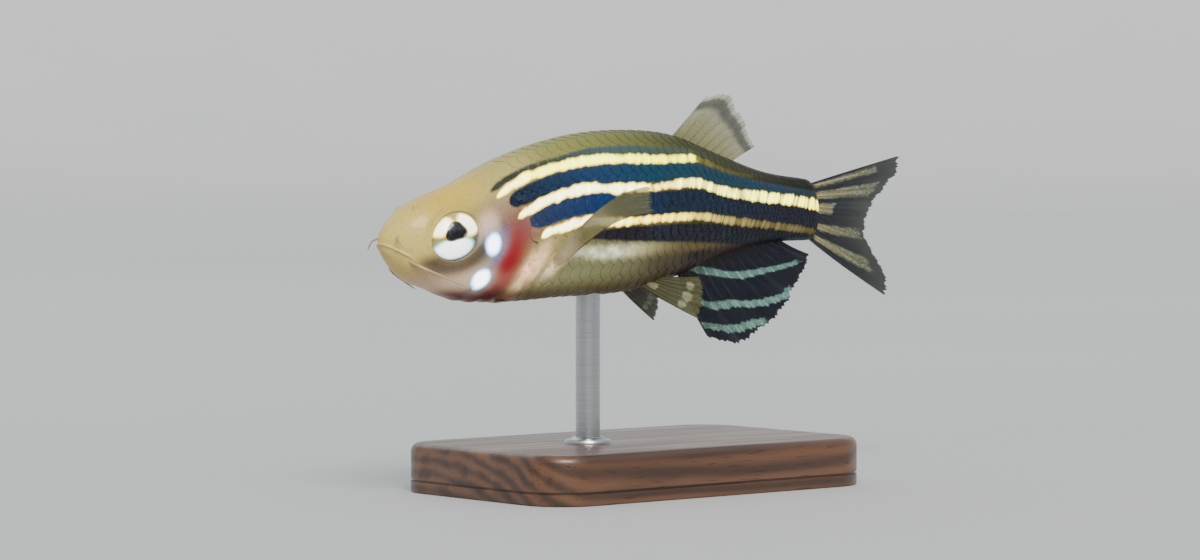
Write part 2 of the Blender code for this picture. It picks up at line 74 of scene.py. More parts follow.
# %% [markdown]
# A fish is easiest to shape while it is straight. Here x runs in millimetres from the snout to the
# tail, y to the fish's right and z up from its axis. The body is a stack of soft ovals, each set by
# the height of the back, the depth of the belly and half the width at its place. A smooth curve
# through a few measured places gives all the others, so ten numbers describe a whole back.


# %% A smooth curve through a few points
def curve_through(knots, values):
    """A smooth curve through points, as a function of one number or of a whole array."""
    knots = np.array(knots, float)
    values = np.array(values, float)
    slopes = np.gradient(values, knots)

    def at(x):
        i = np.clip(np.searchsorted(knots, x) - 1, 0, len(knots) - 2)
        step = knots[i + 1] - knots[i]
        t = np.clip((x - knots[i]) / step, 0, 1)
        rise = values[i + 1] - values[i]
        start, end = slopes[i] * step, slopes[i + 1] * step
        bend = start + end - 2 * rise
        return values[i] + t * (start + t * (3 * rise - 2 * start - end + t * bend))

    return at


def mix(a, b, share):
    return a + (b - a) * share


def ramp(x, start, end):
    """0 before start, 1 after end, and a soft slope between; start may lie after end."""
    t = np.clip((x - start) / (end - start), 0, 1)
    return t * t * (3 - 2 * t)


# %% The body's measures
BODY = np.array(
    (
        (0.0, 1.75, -1.00, 1.25),
        (1.2, 2.12, -1.95, 1.62),
        (2.9, 2.46, -2.88, 2.02),
        (4.5, 2.75, -3.78, 2.30),
        (8.1, 3.85, -4.58, 2.78),
        (12.3, 4.72, -4.78, 2.98),
        (17.0, 5.12, -4.75, 2.86),
        (21.6, 4.88, -3.90, 2.22),
        (26.0, 3.62, -2.62, 1.55),
        (30.0, 2.56, -1.96, 1.10),
        (35.6, 1.92, -1.82, 0.72),
    )
)
BODY_LENGTH = 35.6
STANDARD_LENGTH = 35.0
SNOUT_HEIGHT = 0.37
NOSE_ROUND = 2.4
TAIL_ROUND = 1.0
MIDDLE_SHARE = 0.52
FULLNESS = 2.3
back_line = curve_through(BODY[:, 0], BODY[:, 1])
belly_line = curve_through(BODY[:, 0], BODY[:, 2])
width_line = curve_through(BODY[:, 0], BODY[:, 3])


def end_rounding(x):
    """0 at the body's two ends, rising to 1 where their rounding is over."""
    nose = 1 - np.clip(x / NOSE_ROUND, 0, 1)
    tail = 1 - np.clip((BODY_LENGTH - x) / TAIL_ROUND, 0, 1)
    return np.sqrt(1 - nose**2) * np.sqrt(1 - tail**2)


def end_level(x):
    return SNOUT_HEIGHT * (1 - np.clip(x / NOSE_ROUND, 0, 1))


def back(x):
    return mix(end_level(x), back_line(x), end_rounding(x))


def belly(x):
    return mix(end_level(x), belly_line(x), end_rounding(x))


def half_width(x):
    return width_line(x) * end_rounding(x)


def middle(x):
    return mix(belly(x), back(x), MIDDLE_SHARE)


def body_point(x, turn):
    """Points of the body's surface; a turn of 0 is the back, a quarter turn the right flank."""
    across = np.sign(np.sin(turn)) * np.abs(np.sin(turn)) ** (2 / FULLNESS)
    up = np.sign(np.cos(turn)) * np.abs(np.cos(turn)) ** (2 / FULLNESS)
    height = np.where(up > 0, back(x) - middle(x), middle(x) - belly(x))
    return np.stack((x + 0 * turn, half_width(x) * across, middle(x) + height * up), axis=-1)


def flank(x, z):
    """How far the body's side is from its middle plane at x and height z."""
    height = np.where(z > middle(x), back(x) - middle(x), middle(x) - belly(x))
    level = np.clip(np.abs(z - middle(x)) / np.maximum(height, 1e-6), 0, 1)
    return half_width(x) * (1 - level**FULLNESS) ** (1 / FULLNESS)


print("deepest part of the body:", round(float(back(15.0) - belly(15.0)), 2), "mm")

# %% [markdown]
# The living fish is never straight. It banks a little, swims nose down and bends sideways along an
# arc. One function moves any point of the straight fish to its place in the pose, so the skin,
# every scale, each fin and both eyes bend together and stay in touch.

# %% The pose
HEAD_TURN = math.radians(-8)
TAIL_TURN = math.radians(9)
BANK = math.radians(4)
NOSE_DROP = 1.9
LEVEL_FROM = 17.0
AXIS_HEIGHT = 17.0
BASE_UNDER = 19.0
BEND = (TAIL_TURN - HEAD_TURN) / STANDARD_LENGTH


def arc_point(x):
    """Place on the ground plan of the fish's axis at x, and its heading."""
    heading = HEAD_TURN + BEND * x
    along = (np.sin(heading) - math.sin(HEAD_TURN)) / BEND
    aside = (math.cos(HEAD_TURN) - np.cos(heading)) / BEND
    return along, aside, heading


def posed(points):
    """Points of the straight fish, in millimetres, moved to the pose, in metres."""
    x, y, z = np.asarray(points, float).T
    along, aside, heading = arc_point(x)
    start_along, start_aside, _ = arc_point(BASE_UNDER)
    across = y * math.cos(BANK) + z * math.sin(BANK)
    up = z * math.cos(BANK) - y * math.sin(BANK)
    lean = -NOSE_DROP * np.clip(1 - x / LEVEL_FROM, 0, None) ** 2
    placed = (
        along - start_along - np.sin(heading) * across,
        aside - start_aside + np.cos(heading) * across,
        AXIS_HEIGHT + lean + up,
    )
    return np.stack(placed, axis=-1) * MM


snout = posed([(0, 0, SNOUT_HEIGHT)])[0]
print("the snout is at", [round(float(v) * 1000, 1) for v in snout], "mm")

# %% [markdown]
# The camera stands level with the fish, on its left side and a little in front of it, and uses a
# long lens from a quarter of a metre away, as one would photograph a fish of this size.

# %% The camera
CAMERA_TURN = math.radians(-40)
CAMERA_RISE = math.radians(2)
CAMERA_DISTANCE = 240 * MM
CAMERA_TARGET = Vector((-0.594, 2.792, 12.839)) * MM
toward_camera = Vector(
    (
        math.sin(CAMERA_TURN) * math.cos(CAMERA_RISE),
        -math.cos(CAMERA_TURN) * math.cos(CAMERA_RISE),
        math.sin(CAMERA_RISE),
    )
)
camera = bpy.data.objects.new("camera", bpy.data.cameras.new("camera"))
bpy.context.scene.collection.objects.link(camera)
camera.data.sensor_width = 36
camera.data.lens = 115.2
camera.data.clip_start = 0.01
camera.data.clip_end = 20
camera.location = CAMERA_TARGET + toward_camera * CAMERA_DISTANCE
camera.rotation_euler = toward_camera.to_track_quat("Z", "Y").to_euler()
bpy.context.scene.camera = camera
print("camera height:", round(camera.location.z * 1000, 1), "mm")

# %% [markdown]
# A small, glossy, scaly thing shows its form by what it mirrors. So the studio is a wide pale bowl
# that closes round the model on every side, under a pale sky, with one wide soft key light from
# above the snout and a smaller lamp behind that draws a rim along the back.


# %% Colours and objects
def srgb(red, green, blue):
    """A colour as it is read off a screen, from 0 to 255, as the linear light Blender works in."""
    shares = [v / 255 for v in (red, green, blue)]
    return tuple(v / 12.92 if v <= 0.04045 else ((v + 0.055) / 1.055) ** 2.4 for v in shares)


def points_of(bm):
    return np.array([v.co for v in bm.verts])


def move_points(bm, places):
    for vertex, place in zip(bm.verts, places):
        vertex.co = place


def spin_profile(bm, profile, steps, merge, closed=False):
    """Spins a line of (radius, height) points once round the upright through the origin."""
    line = [bm.verts.new((r, 0, h)) for r, h in profile]
    ends = line[1:] + line[:1] if closed else line[1:]
    edges = [bm.edges.new(pair) for pair in zip(line, ends)]
    turn = dict(cent=(0, 0, 0), axis=(0, 0, 1), angle=math.tau)
    bmesh.ops.spin(bm, geom=line + edges, steps=steps, use_merge=True, **turn)
    bmesh.ops.remove_doubles(bm, verts=bm.verts, dist=merge)


def new_object(name, bm):
    mesh = bpy.data.meshes.new(name)
    bm.to_mesh(mesh)
    bm.free()
    made = bpy.data.objects.new(name, mesh)
    bpy.context.scene.collection.objects.link(made)
    mesh.shade_smooth()
    return made


# %% The studio's floor: a disc whose rim curves up into a wall
FLOOR_RADIUS = 1.2
FLOOR_STEPS = 7
WALL_BEND = 0.5
WALL_TOP = 0.7
bm = bmesh.new()
profile = [(r, 0.0) for r in np.linspace(0, FLOOR_RADIUS, FLOOR_STEPS)]
for turn in np.linspace(0, math.pi / 2, 9)[1:]:
    profile.append((FLOOR_RADIUS + WALL_BEND * math.sin(turn), WALL_BEND * (1 - math.cos(turn))))
profile.append((FLOOR_RADIUS + WALL_BEND, WALL_TOP))
spin_profile(bm, profile, 96, MM)
bm.normal_update()
if sum(face.normal.z for face in bm.faces) < 0:
    bmesh.ops.reverse_faces(bm, faces=bm.faces)
floor = new_object("studio_floor", bm)
print("floor faces:", len(floor.data.polygons))


# %% Materials: a short way to place and join nodes
def place_node(tree, kind, settings=None, **inputs):
    """One node in a tree; inputs are values or other nodes' outputs, by name or, as i0, by number."""
    made = tree.nodes.new("ShaderNode" + kind)
    for name, value in (settings or {}).items():
        setattr(made, name, value)
    for name, value in inputs.items():
        key = int(name[1:]) if name[0] == "i" and name[1:].isdigit() else name.replace("_", " ")
        if isinstance(value, bpy.types.NodeSocket):
            tree.links.new(value, made.inputs[key])
        else:
            made.inputs[key].default_value = value
    return made


def tree_of(values):
    """The node tree of the first socket among some values."""
    return next(value.id_data for value in values if isinstance(value, bpy.types.NodeSocket))


def maths(operation, *values, clamp=False):
    settings = {"operation": operation, "use_clamp": clamp}
    inputs = {f"i{k}": value for k, value in enumerate(values)}
    return place_node(tree_of(values), "Math", settings, **inputs).outputs[0]


def plus(first, second):
    return maths("ADD", first, second)


def times(first, second):
    return maths("MULTIPLY", first, second)


def times_plus(value, factor, added, clamp=False):
    return maths("MULTIPLY_ADD", value, factor, added, clamp=clamp)


def mixed(share, first, second, blend="MIX"):
    """Two colours, mixed; a share of 0 gives the first one."""
    tree = tree_of((share, first, second))
    first, second = ((*tone, 1) if isinstance(tone, tuple) else tone for tone in (first, second))
    settings = {"data_type": "RGBA", "blend_type": blend}
    return place_node(tree, "Mix", settings, i0=share, i6=first, i7=second).outputs[2]


def dusted(colour, mask, strength, tone, blend="MIX"):
    """A colour with a tone laid over it where the mask is bright."""
    return mixed(times(mask, strength), colour, tone, blend)


def slope(value, low, high, bottom=0.0, top=1.0):
    """Maps value from low..high to bottom..top, softly and held at both ends."""
    inputs = dict(Value=value, From_Min=low, From_Max=high, To_Min=bottom, To_Max=top)
    settings = {"interpolation_type": "SMOOTHSTEP"}
    return place_node(value.id_data, "MapRange", settings, **inputs).outputs[0]


class Paint:
    """A material under construction, with the nodes that most finishes need."""

    def __init__(self, name):
        self.material = bpy.data.materials.new(name)
        self.material.use_nodes = True
        self.tree = self.material.node_tree
        self.surface = self.tree.nodes["Principled BSDF"]

    def node(self, kind, settings=None, **inputs):
        return place_node(self.tree, kind, settings, **inputs)

    def object_place(self):
        return self.node("TexCoord").outputs["Object"]

    def kept(self, name, output="Fac"):
        """A value, place or colour that was kept on the piece's points."""
        return self.node("Attribute", {"attribute_name": name}).outputs[output]

    def mapped(self, place, scale, kind="POINT", **inputs):
        made = self.node("Mapping", {"vector_type": kind}, Vector=place, Scale=scale, **inputs)
        return made.outputs["Vector"]

    def noise(self, place, scale, detail=2.0, **inputs):
        return self.node("TexNoise", Vector=place, Scale=scale, Detail=detail, **inputs).outputs["Fac"]

    def join(self, **outputs):
        for name, output in outputs.items():
            self.tree.links.new(output, self.surface.inputs[name.replace("_", " ")])

    def rough(self, noise, low, high):
        """Roughness that wanders with a noise, from one value to the other."""
        self.join(Roughness=slope(noise, 0.3, 0.7, low, high))

    def bumpy(self, height, strength, distance):
        bumps = self.node("Bump", Height=height, Strength=strength, Distance=distance * MM)
        self.join(Normal=bumps.outputs["Normal"])

    def constants(self, **values):
        for name, value in values.items():
            self.surface.inputs[name.replace("_", " ")].default_value = value


# %% The floor's paint: pale, matt and faintly uneven
paper = Paint("pale_floor")
clouds = paper.noise(paper.object_place(), 9.0, 3.0)
paper.join(Base_Color=mixed(clouds, srgb(178, 180, 181), srgb(188, 189, 188)))
paper.constants(Roughness=0.75)
floor.data.materials.append(paper.material)

# %% The lights
KEY_FROM = Vector((-0.45, -0.75, 0.85))
KEY_STRENGTH = 3.7
KEY_SOFTNESS = math.radians(28)
SKY_STRENGTH = 0.8
RIM_SPOT = Vector((0.06, 0.30, 0.22))
RIM_SIZE = 0.2
RIM_POWER = 0.08


def light(name, kind, spot, strength):
    """A lamp that shines from its spot at the fish."""
    lamp = bpy.data.lights.new(name, kind)
    lamp.energy = strength
    holder = bpy.data.objects.new(name, lamp)
    holder.location = spot
    holder.rotation_euler = (spot - CAMERA_TARGET).to_track_quat("Z", "Y").to_euler()
    bpy.context.scene.collection.objects.link(holder)
    return lamp


key = light("key", "SUN", KEY_FROM, KEY_STRENGTH)
key.angle = KEY_SOFTNESS
key.color = (1.0, 0.97, 0.92)
rim = light("rim", "AREA", RIM_SPOT, RIM_POWER)
rim.shape = "DISK"
rim.size = RIM_SIZE
world = bpy.data.worlds.new("studio")
world.use_nodes = True
sky = world.node_tree.nodes["Background"]
sky.inputs["Color"].default_value = (0.88, 0.93, 1.0, 1)
sky.inputs["Strength"].default_value = SKY_STRENGTH
bpy.context.scene.world = world
print("key light", KEY_STRENGTH, "sky", SKY_STRENGTH)

# %% [markdown]
# The zebra danio's bands are layers of pigment cells: silvery gold bands that mirror light, and blue
# bands of dark cells under a thin blue mirror. Painting them as a picture would tie them to one
# view. Instead each band is a curve along the straight fish, with its width and its tones, and every
# point of skin or scale works out how far inside a band it lies. The material then only has to cut
# at zero, with a little noise for the ragged edge that rows of scales give.


# %% Bands: places (x, z), half widths and tones along the fish
def tones_between(x, stops, colours):
    """The colour at x, between colours that stand at the stops."""
    shades = np.array([srgb(*colour) for colour in colours])
    return np.stack([np.interp(x, stops, shades[:, k]) for k in range(3)], axis=-1)


def band(places, halves, tones):
    xs, zs = zip(*places)
    half_stops = np.linspace(xs[0], xs[-1], len(halves))
    tone_stops = np.linspace(xs[0], xs[-1], len(tones))
    return {
        "start": xs[0],
        "end": xs[-1],
        "level": curve_through(xs, zs),
        "half": lambda x: np.interp(x, half_stops, halves),
        "tone": lambda x: tones_between(x, tone_stops, tones),
    }


PALE_GOLD = (244, 250, 96)
WHITE_GOLD = (255, 252, 196)
RICH_GOLD = (238, 246, 24)
TAN = (152, 140, 98)
GOLD_BANDS = (
    band(
        ((6.6, 1.68), (7.6, 2.2), (8.6, 2.55), (10, 2.86), (11.6, 3.1), (13, 3.24), (15, 3.29),
         (19, 3.24), (21, 3.31), (22.9, 3.34)),
        (0.24, 0.26, 0.28, 0.30, 0.30, 0.29, 0.28, 0.27, 0.23),
        (WHITE_GOLD, PALE_GOLD, PALE_GOLD, PALE_GOLD, RICH_GOLD, RICH_GOLD, RICH_GOLD),
    ),
    band(
        ((22.3, 3.42), (24, 2.98), (26.2, 2.45), (28.5, 2.2)),
        (0.22, 0.16, 0.12, 0.08),
        ((138, 140, 76), (94, 98, 56), (76, 80, 50)),
    ),
    band(
        ((7.75, 0.3), (9, 0.86), (10, 1.12), (11.5, 1.42), (13, 1.58), (14.5, 1.48), (16.2, 1.48),
         (17.8, 1.45), (20, 1.68), (22.5, 1.74), (24.4, 1.34), (26, 1.12), (28, 0.96), (31, 0.74),
         (33, 0.58), (36, 0.16)),
        (0.28, 0.33, 0.31, 0.26, 0.32, 0.33, 0.34, 0.34, 0.40),
        (WHITE_GOLD, (255, 254, 196), (252, 252, 130), (248, 250, 90), (250, 244, 80)),
    ),
    band(
        ((9.15, -1.0), (10, -0.78), (11, -0.62), (12.2, -0.42), (13.6, -0.5), (15.6, -0.6),
         (17, -0.5), (19, -0.4), (21.5, -0.31), (23, -0.34), (25, -0.55), (29, -0.85), (33, -1.2),
         (35.2, -1.45)),
        (0.30, 0.33, 0.25, 0.26, 0.24, 0.22, 0.23, 0.16),
        ((255, 254, 226), (255, 254, 200), (250, 248, 120), (240, 226, 92), (190, 176, 100),
         (160, 148, 92), TAN, (84, 76, 50)),
    ),
)
BLUE_BANDS = (
    band(
        ((6.35, 2.1), (7.4, 2.58), (8.6, 2.98), (10, 3.26), (11.6, 3.48), (13, 3.7), (15, 3.82),
         (17, 3.85), (19, 3.78), (21, 3.78), (23, 3.75)),
        (0.20, 0.18, 0.22, 0.26, 0.26, 0.20, 0.12),
        ((46, 42, 28), (58, 66, 54), (68, 88, 84), (62, 80, 72), (70, 78, 52)),
    ),
    band(
        ((7.35, 1.3), (8.5, 1.6), (10.0, 1.96), (11.7, 2.2), (13.95, 2.39), (17.1, 2.42), (21.8, 2.5),
         (25, 2.02), (29, 1.5), (33, 1.12), (36, 0.8)),
        (0.50, 0.62, 0.66, 0.64, 0.46, 0.34, 0.30),
        ((16, 20, 32), (26, 54, 90), (20, 62, 80), (20, 56, 68), (34, 56, 74), (40, 52, 46)),
    ),
    band(
        ((8.55, 0.0), (9.6, 0.14), (10.9, 0.42), (12.9, 0.67), (15.3, 0.5), (18.6, 0.53), (22.5, 0.65),
         (26.6, 0.22), (30.9, -0.2), (36, -0.7)),
        (0.56, 0.66, 0.74, 0.72, 0.70, 0.66, 0.62, 0.60),
        ((46, 54, 84), (22, 54, 104), (14, 30, 48), (20, 28, 46), (26, 21, 34), (24, 19, 28)),
    ),
    band(
        ((11.6, -1.25), (13.4, -1.3), (17.7, -1.33), (21.5, -1.3), (24.6, -1.4), (29.1, -1.68),
         (36, -2.1)),
        (0.12, 0.42, 0.55, 0.57, 0.54, 0.50, 0.50),
        ((56, 46, 54), (30, 22, 30), (14, 11, 17), (8, 7, 11), (8, 7, 10)),
    ),
)
SILVER_BAND = band(
    ((11.2, -2.0), (12.4, -2.2), (13.5, -2.36), (16, -2.34), (19, -2.28), (22, -2.15), (25, -2.08),
     (27, -2.0)),
    (0.24, 0.38, 0.40, 0.32, 0.24, 0.18, 0.10),
    ((214, 216, 176), (252, 254, 212), (186, 178, 130), (112, 98, 58), (92, 76, 44), (60, 48, 30)),
)
BAND_TIP = 0.7  # length of a band's rounded end


def within(one, x, z):
    """How far inside a round-ended band a point lies, in millimetres; less than nothing outside."""
    from_end = np.minimum(x - one["start"], one["end"] - x)
    fullness = np.sqrt(1 - (1 - np.clip(from_end / BAND_TIP, 0, 1)) ** 2)
    aside = one["half"](x) * fullness - np.abs(z - one["level"](x))
    return np.minimum(aside, from_end)


print("bands on each flank:", len(GOLD_BANDS) + len(BLUE_BANDS) + 1)

# %% [markdown]
# Between and around the bands lies the ground colour: olive along the back, silvery on the belly and
# cream over the cheeks. The gills shine red through their thin cover, which carries two silvery
# plates, painted as bright glints that glow. Each is one soft oval patch on the side of the fish,
# laid over those before it. Painted shade darkens the fish towards its tail, along the belly's lower
# edge, on the belly round the pelvic fins and in a crescent under the eye.

# %% Ground colours
# tones at TONE_PLACES, head to tail; their darkening to near black towards the tail is painted shade
OLIVE_BACK = ((150, 142, 84), (122, 124, 66), (46, 52, 18), (10, 14, 5))
FLANK_MID = ((160, 150, 88), (136, 130, 80), (70, 64, 34), (34, 30, 18))
BELLY = ((150, 126, 94), (166, 166, 122), (14, 10, 6), (12, 8, 6))
TONE_PLACES = (4.0, 12.0, 22.0, 33.0)
BELLY_SHADE = (74, 48, 40)  # painted shade along the underside of the belly, from the gills back
EYE_CENTRE = np.array((3.92, 1.76, -0.15))
EYE_OPENING = 1.43
EYE_STRETCH = 1.07
# painted shade in a crescent under the eye: its tone and its distance from the eye
EYE_SHADE = (72, 62, 52)
EYE_SHADE_RADIUS = 1.82
PATCHES = (
    # centre (x, z), radii, tilt in degrees, colour, strength
    ((1.2, 0.3), (2.2, 2.6), 0, (212, 188, 108), 0.9),
    ((4.6, 2.3), (3.2, 1.0), 12, (202, 172, 68), 0.9),
    ((7.6, 3.0), (2.4, 0.8), 22, (172, 160, 100), 0.8),
    ((6.8, 1.0), (1.2, 0.9), 30, (156, 132, 108), 0.8),
    ((5.95, 0.2), (0.7, 0.75), 20, (240, 196, 180), 0.9),
    ((4.4, -2.75), (2.6, 0.9), -12, (250, 212, 184), 0.95),
    ((7.9, -0.35), (1.55, 1.3), 40, (132, 84, 86), 0.97),
    ((7.2, -2.15), (1.85, 1.1), 66, (146, 12, 30), 1.0),
    ((6.85, -3.5), (1.1, 0.55), 20, (170, 86, 78), 0.85),
    ((6.35, -1.95), (0.9, 0.3), 60, (112, 100, 150), 0.75),
    ((6.95, -0.35), (0.75, 0.22), 100, (104, 66, 112), 0.8),
    ((8.95, -2.7), (1.6, 0.62), 52, (255, 206, 162), 1.0),
    ((10.6, -2.75), (1.2, 0.34), 40, (255, 232, 186), 0.9),
    ((11.75, -2.0), (0.6, 0.32), 20, (240, 236, 204), 0.8),
    # painted shade on the belly round the pelvic fins
    ((19.2, -2.9), (2.2, 0.9), 8, (64, 46, 32), 0.6),
    ((5.4, -4.05), (3.2, 0.6), -8, (84, 14, 36), 0.97),
    # pale halos round the gill cover's two silvery plates: part of their painted glint
    ((6.12, -0.98), (0.95, 1.0), 0, (168, 184, 210), 0.6),
    ((5.55, -2.98), (0.95, 0.9), 0, (214, 204, 198), 0.6),
)
GOLD_FRINGE = (244, 208, 90)  # a band's edge, as a share of the band's own tone
TAIL_FRINGE = (0.80, 0.70, 0.45)  # the same share towards the tail, as linear light
# the blue fringe of the gill cover's painted glints
SPOT_FRINGE = (150, 190, 240)
FLESH_GLOW_PATCHES = (
    # patches of silvery flesh with a soft painted glow: centre (x, z), radii, tilt
    ((8.9, -2.65), (1.6, 0.60), 52),
    ((10.6, -2.7), (1.3, 0.45), 40),
    ((14.4, -2.35), (2.6, 0.45), 0),
)
SPOT_SOFTNESS = 0.7
# the gill cover's two silvery plates, painted as bright glints that glow with the gold bands
SILVER_GLINT_SPOTS = (
    # centre (x, z), radii, colour
    ((6.16, -1.03), (0.53, 0.72), (240, 248, 255)),
    ((5.56, -2.98), (0.62, 0.62), (255, 255, 252)),
)


def from_eye(x, z):
    """Distance from the middle of the eye, which is a little longer than it is high."""
    return np.hypot((x - EYE_CENTRE[0]) / EYE_STRETCH, z - EYE_CENTRE[2])


def bump(distance, width):
    return np.exp(-((distance / width) ** 2))


def from_oval(x, z, centre, radii):
    """0 in the middle of an upright oval and 1 on its rim."""
    return np.hypot((x - centre[0]) / radii[0], (z - centre[1]) / radii[1])


def patch_share(x, z, centre, radii, tilt):
    """1 in the middle of a tilted oval, about a third on its rim, and 0 well outside."""
    turn = math.radians(tilt)
    u = ((x - centre[0]) * math.cos(turn) + (z - centre[1]) * math.sin(turn)) / radii[0]
    v = ((z - centre[1]) * math.cos(turn) - (x - centre[0]) * math.sin(turn)) / radii[1]
    return np.exp(-((u * u + v * v) ** 1.5))


def lay(colour, tone, share):
    return mix(colour, np.asarray(tone), np.asarray(share)[:, None])


def ground_colour(x, z):
    height = np.clip((z - belly(x)) / np.maximum(back(x) - belly(x), 0.2), 0, 1)
    colour = tones_between(x, TONE_PLACES, BELLY)
    colour = lay(colour, tones_between(x, TONE_PLACES, FLANK_MID), ramp(height, 0.12, 0.5))
    colour = lay(colour, tones_between(x, TONE_PLACES, OLIVE_BACK), ramp(height, 0.72, 0.97))
    silver = ramp(within(SILVER_BAND, x, z), -0.22, 0.2) * 0.95
    colour = lay(colour, SILVER_BAND["tone"](x), silver)
    # painted shade along the belly's lower edge, from the gills back
    low_shade = ramp(height, 0.13, 0.0) * ramp(x, 7.5, 9.5)
    colour = lay(colour, srgb(*BELLY_SHADE), low_shade * 0.7)
    for centre, radii, tilt, tone, strength in PATCHES:
        colour = lay(colour, srgb(*tone), patch_share(x, z, centre, radii, tilt) * strength)
    # painted shade: a crescent under the eye
    below = EYE_CENTRE[2] - z + 0.1 * (x - EYE_CENTRE[0])
    ring = bump(from_eye(x, z) - EYE_SHADE_RADIUS, 0.62) * ramp(below, 0.3, 1.15)
    return lay(colour, srgb(*EYE_SHADE), 0.92 * ring)


# %% All the markings of one piece, kept on its points
def markings(points):
    """Ground, gold and blue at each point, and how far inside the gold and blue bands it lies."""
    x, z = points[:, 0], points[:, 2]
    made = {"ground": ground_colour(x, z)}
    for name, bands in (("gold", GOLD_BANDS), ("blue", BLUE_BANDS)):
        inside = np.stack([within(one, x, z) for one in bands])
        nearest = inside.argmax(axis=0)
        tones = np.stack([one["tone"](x) for one in bands])
        made[name] = tones[nearest, np.arange(len(x))]
        made[name + "_edge"] = inside.max(axis=0)
    fringe_share = mix(srgb(*GOLD_FRINGE), np.array(TAIL_FRINGE), ramp(x, 19, 23)[:, None])
    made["fringe"] = made["gold"] * fringe_share
    made["flesh_glow"] = np.max([patch_share(x, z, *one) for one in FLESH_GLOW_PATCHES], axis=0)
    # the silvery plates join the gold, so they take its painted glow as bright glints
    for centre, radii, tone in SILVER_GLINT_SPOTS:
        inside = (1 - from_oval(x, z, centre, radii)) * min(radii) * SPOT_SOFTNESS
        here = (inside > made["gold_edge"]) & (inside > -0.3)
        made["gold"][here] = srgb(*tone)
        made["fringe"][here] = srgb(*SPOT_FRINGE)
        made["gold_edge"] = np.maximum(made["gold_edge"], inside)
    return made


def keep_values(mesh, name, values):
    """Stores one number, place or colour for each vertex of a mesh."""
    values = np.asarray(values, float)
    kind, width = ("FLOAT", 1) if values.ndim == 1 else ("FLOAT_VECTOR", 3)
    layer = mesh.attributes.new(name, kind, "POINT")
    layer.data.foreach_set("value" if width == 1 else "vector", values.ravel())


def mesh_points(mesh):
    flat = np.empty(len(mesh.vertices) * 3)
    mesh.vertices.foreach_get("co", flat)
    return flat.reshape(-1, 3)


def pose_piece(piece, marked=False):
    """Keeps where each point was on the straight fish, marks it and moves the piece to the pose."""
    points = mesh_points(piece.data)
    keep_values(piece.data, "fish", points)
    if marked:
        for name, values in markings(points).items():
            keep_values(piece.data, name, values)
    piece.data.vertices.foreach_set("co", posed(points).ravel())
    piece.data.update()
    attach(piece, "root")
    return piece

# %% [markdown]
# The skin is one closed surface from lips to tail, so no seam shows between head, jaw, gill covers
# and trunk. It starts as a sphere whose poles are the snout and the tail's end, because a sphere's
# rings crowd together at its poles, just where a fish's head needs them. Around the eyes, nostrils
# and lips the faces are split once more before the sphere is stretched into the fish.

# %% The skin: a sphere with finer faces on the head
SKIN_DEPTH = 0.07  # how far the skin lies inside the solids, as the scales lie on it
SKIN_SEGMENTS = 144
SKIN_RINGS = 224
NOSTRIL = np.array((1.95, 0.95, 1.95))
SIDE_FROM = 1.0  # points further out than this belong to one side of the head
FINE_LENGTH = (0.15, 2.6)
FINE_BELOW = 0.9
FINE_NOSE = 0.8
FINE_EYE = 1.9
MOUTH_FRONT = 0.34
MOUTH_SLOPE = 0.875
MOUTH_CORNER = 1.25


def folded(points):
    """Points with both sides of the fish laid over one another."""
    return np.stack((points[:, 0], np.abs(points[:, 1]), points[:, 2]), axis=-1)


def sphere_places(verts):
    """The place along the fish and the turn round it that each point of the sphere stands for."""
    points = np.array([v.co.normalized() for v in verts])
    return BODY_LENGTH * (1 - points[:, 2]) / 2, np.arctan2(points[:, 1], points[:, 0])


bm = bmesh.new()
bmesh.ops.create_uvsphere(bm, u_segments=SKIN_SEGMENTS, v_segments=SKIN_RINGS, radius=1)
places = body_point(*sphere_places(bm.verts))
x, y, z = places.T
near_eye = np.hypot(x - EYE_CENTRE[0], z - EYE_CENTRE[2]) < FINE_EYE
near_eye &= np.abs(y) > SIDE_FROM
near_nose = np.linalg.norm(folded(places) - NOSTRIL, axis=1) < FINE_NOSE
near_lips = (x < FINE_LENGTH[1]) & (x > FINE_LENGTH[0]) & (z < FINE_BELOW)
fine = near_eye | near_nose | near_lips
bm.verts.ensure_lookup_table()
split = [e for e in bm.edges if fine[e.verts[0].index] and fine[e.verts[1].index]]
bmesh.ops.subdivide_edges(bm, edges=split, cuts=1, use_grid_fill=True)
print("skin points after splitting:", len(bm.verts))

# %% [markdown]
# The gill cover's rear edge is a crisp curved step, so the rings near it are bent until one of them
# lies along the edge. Everything else on the head is a soft rise or dip along the skin's normal.

# %% The gill cover's edge and the mouth line
GILL_EDGE = 8.85
GILL_STEP = 0.24  # how far the body lies under the cover's edge
GILL_FADE = 1.8  # length over which the body comes out again
GILL_LIFT = 0.05  # how far the edge itself stands out
LIP_CUTS = (0.0, 0.05, 0.12, 0.24)  # extra lines of points along the lips, by their distance
PULL_REACH = 3.0


def gill_edge(z):
    """How far back the gill cover reaches at a height."""
    above = 0.9 * (np.clip(z + 0.9, 0, None) / 2.2) ** 2
    below = 1.4 * (np.clip(-z - 0.9, 0, None) / 3.6) ** 2
    return GILL_EDGE - np.minimum(above + below, 1.3)


def mouth_height(x, z):
    """Distance above the slanting line of the mouth."""
    return (z - MOUTH_FRONT + MOUTH_SLOPE * x) / math.hypot(1, MOUTH_SLOPE)


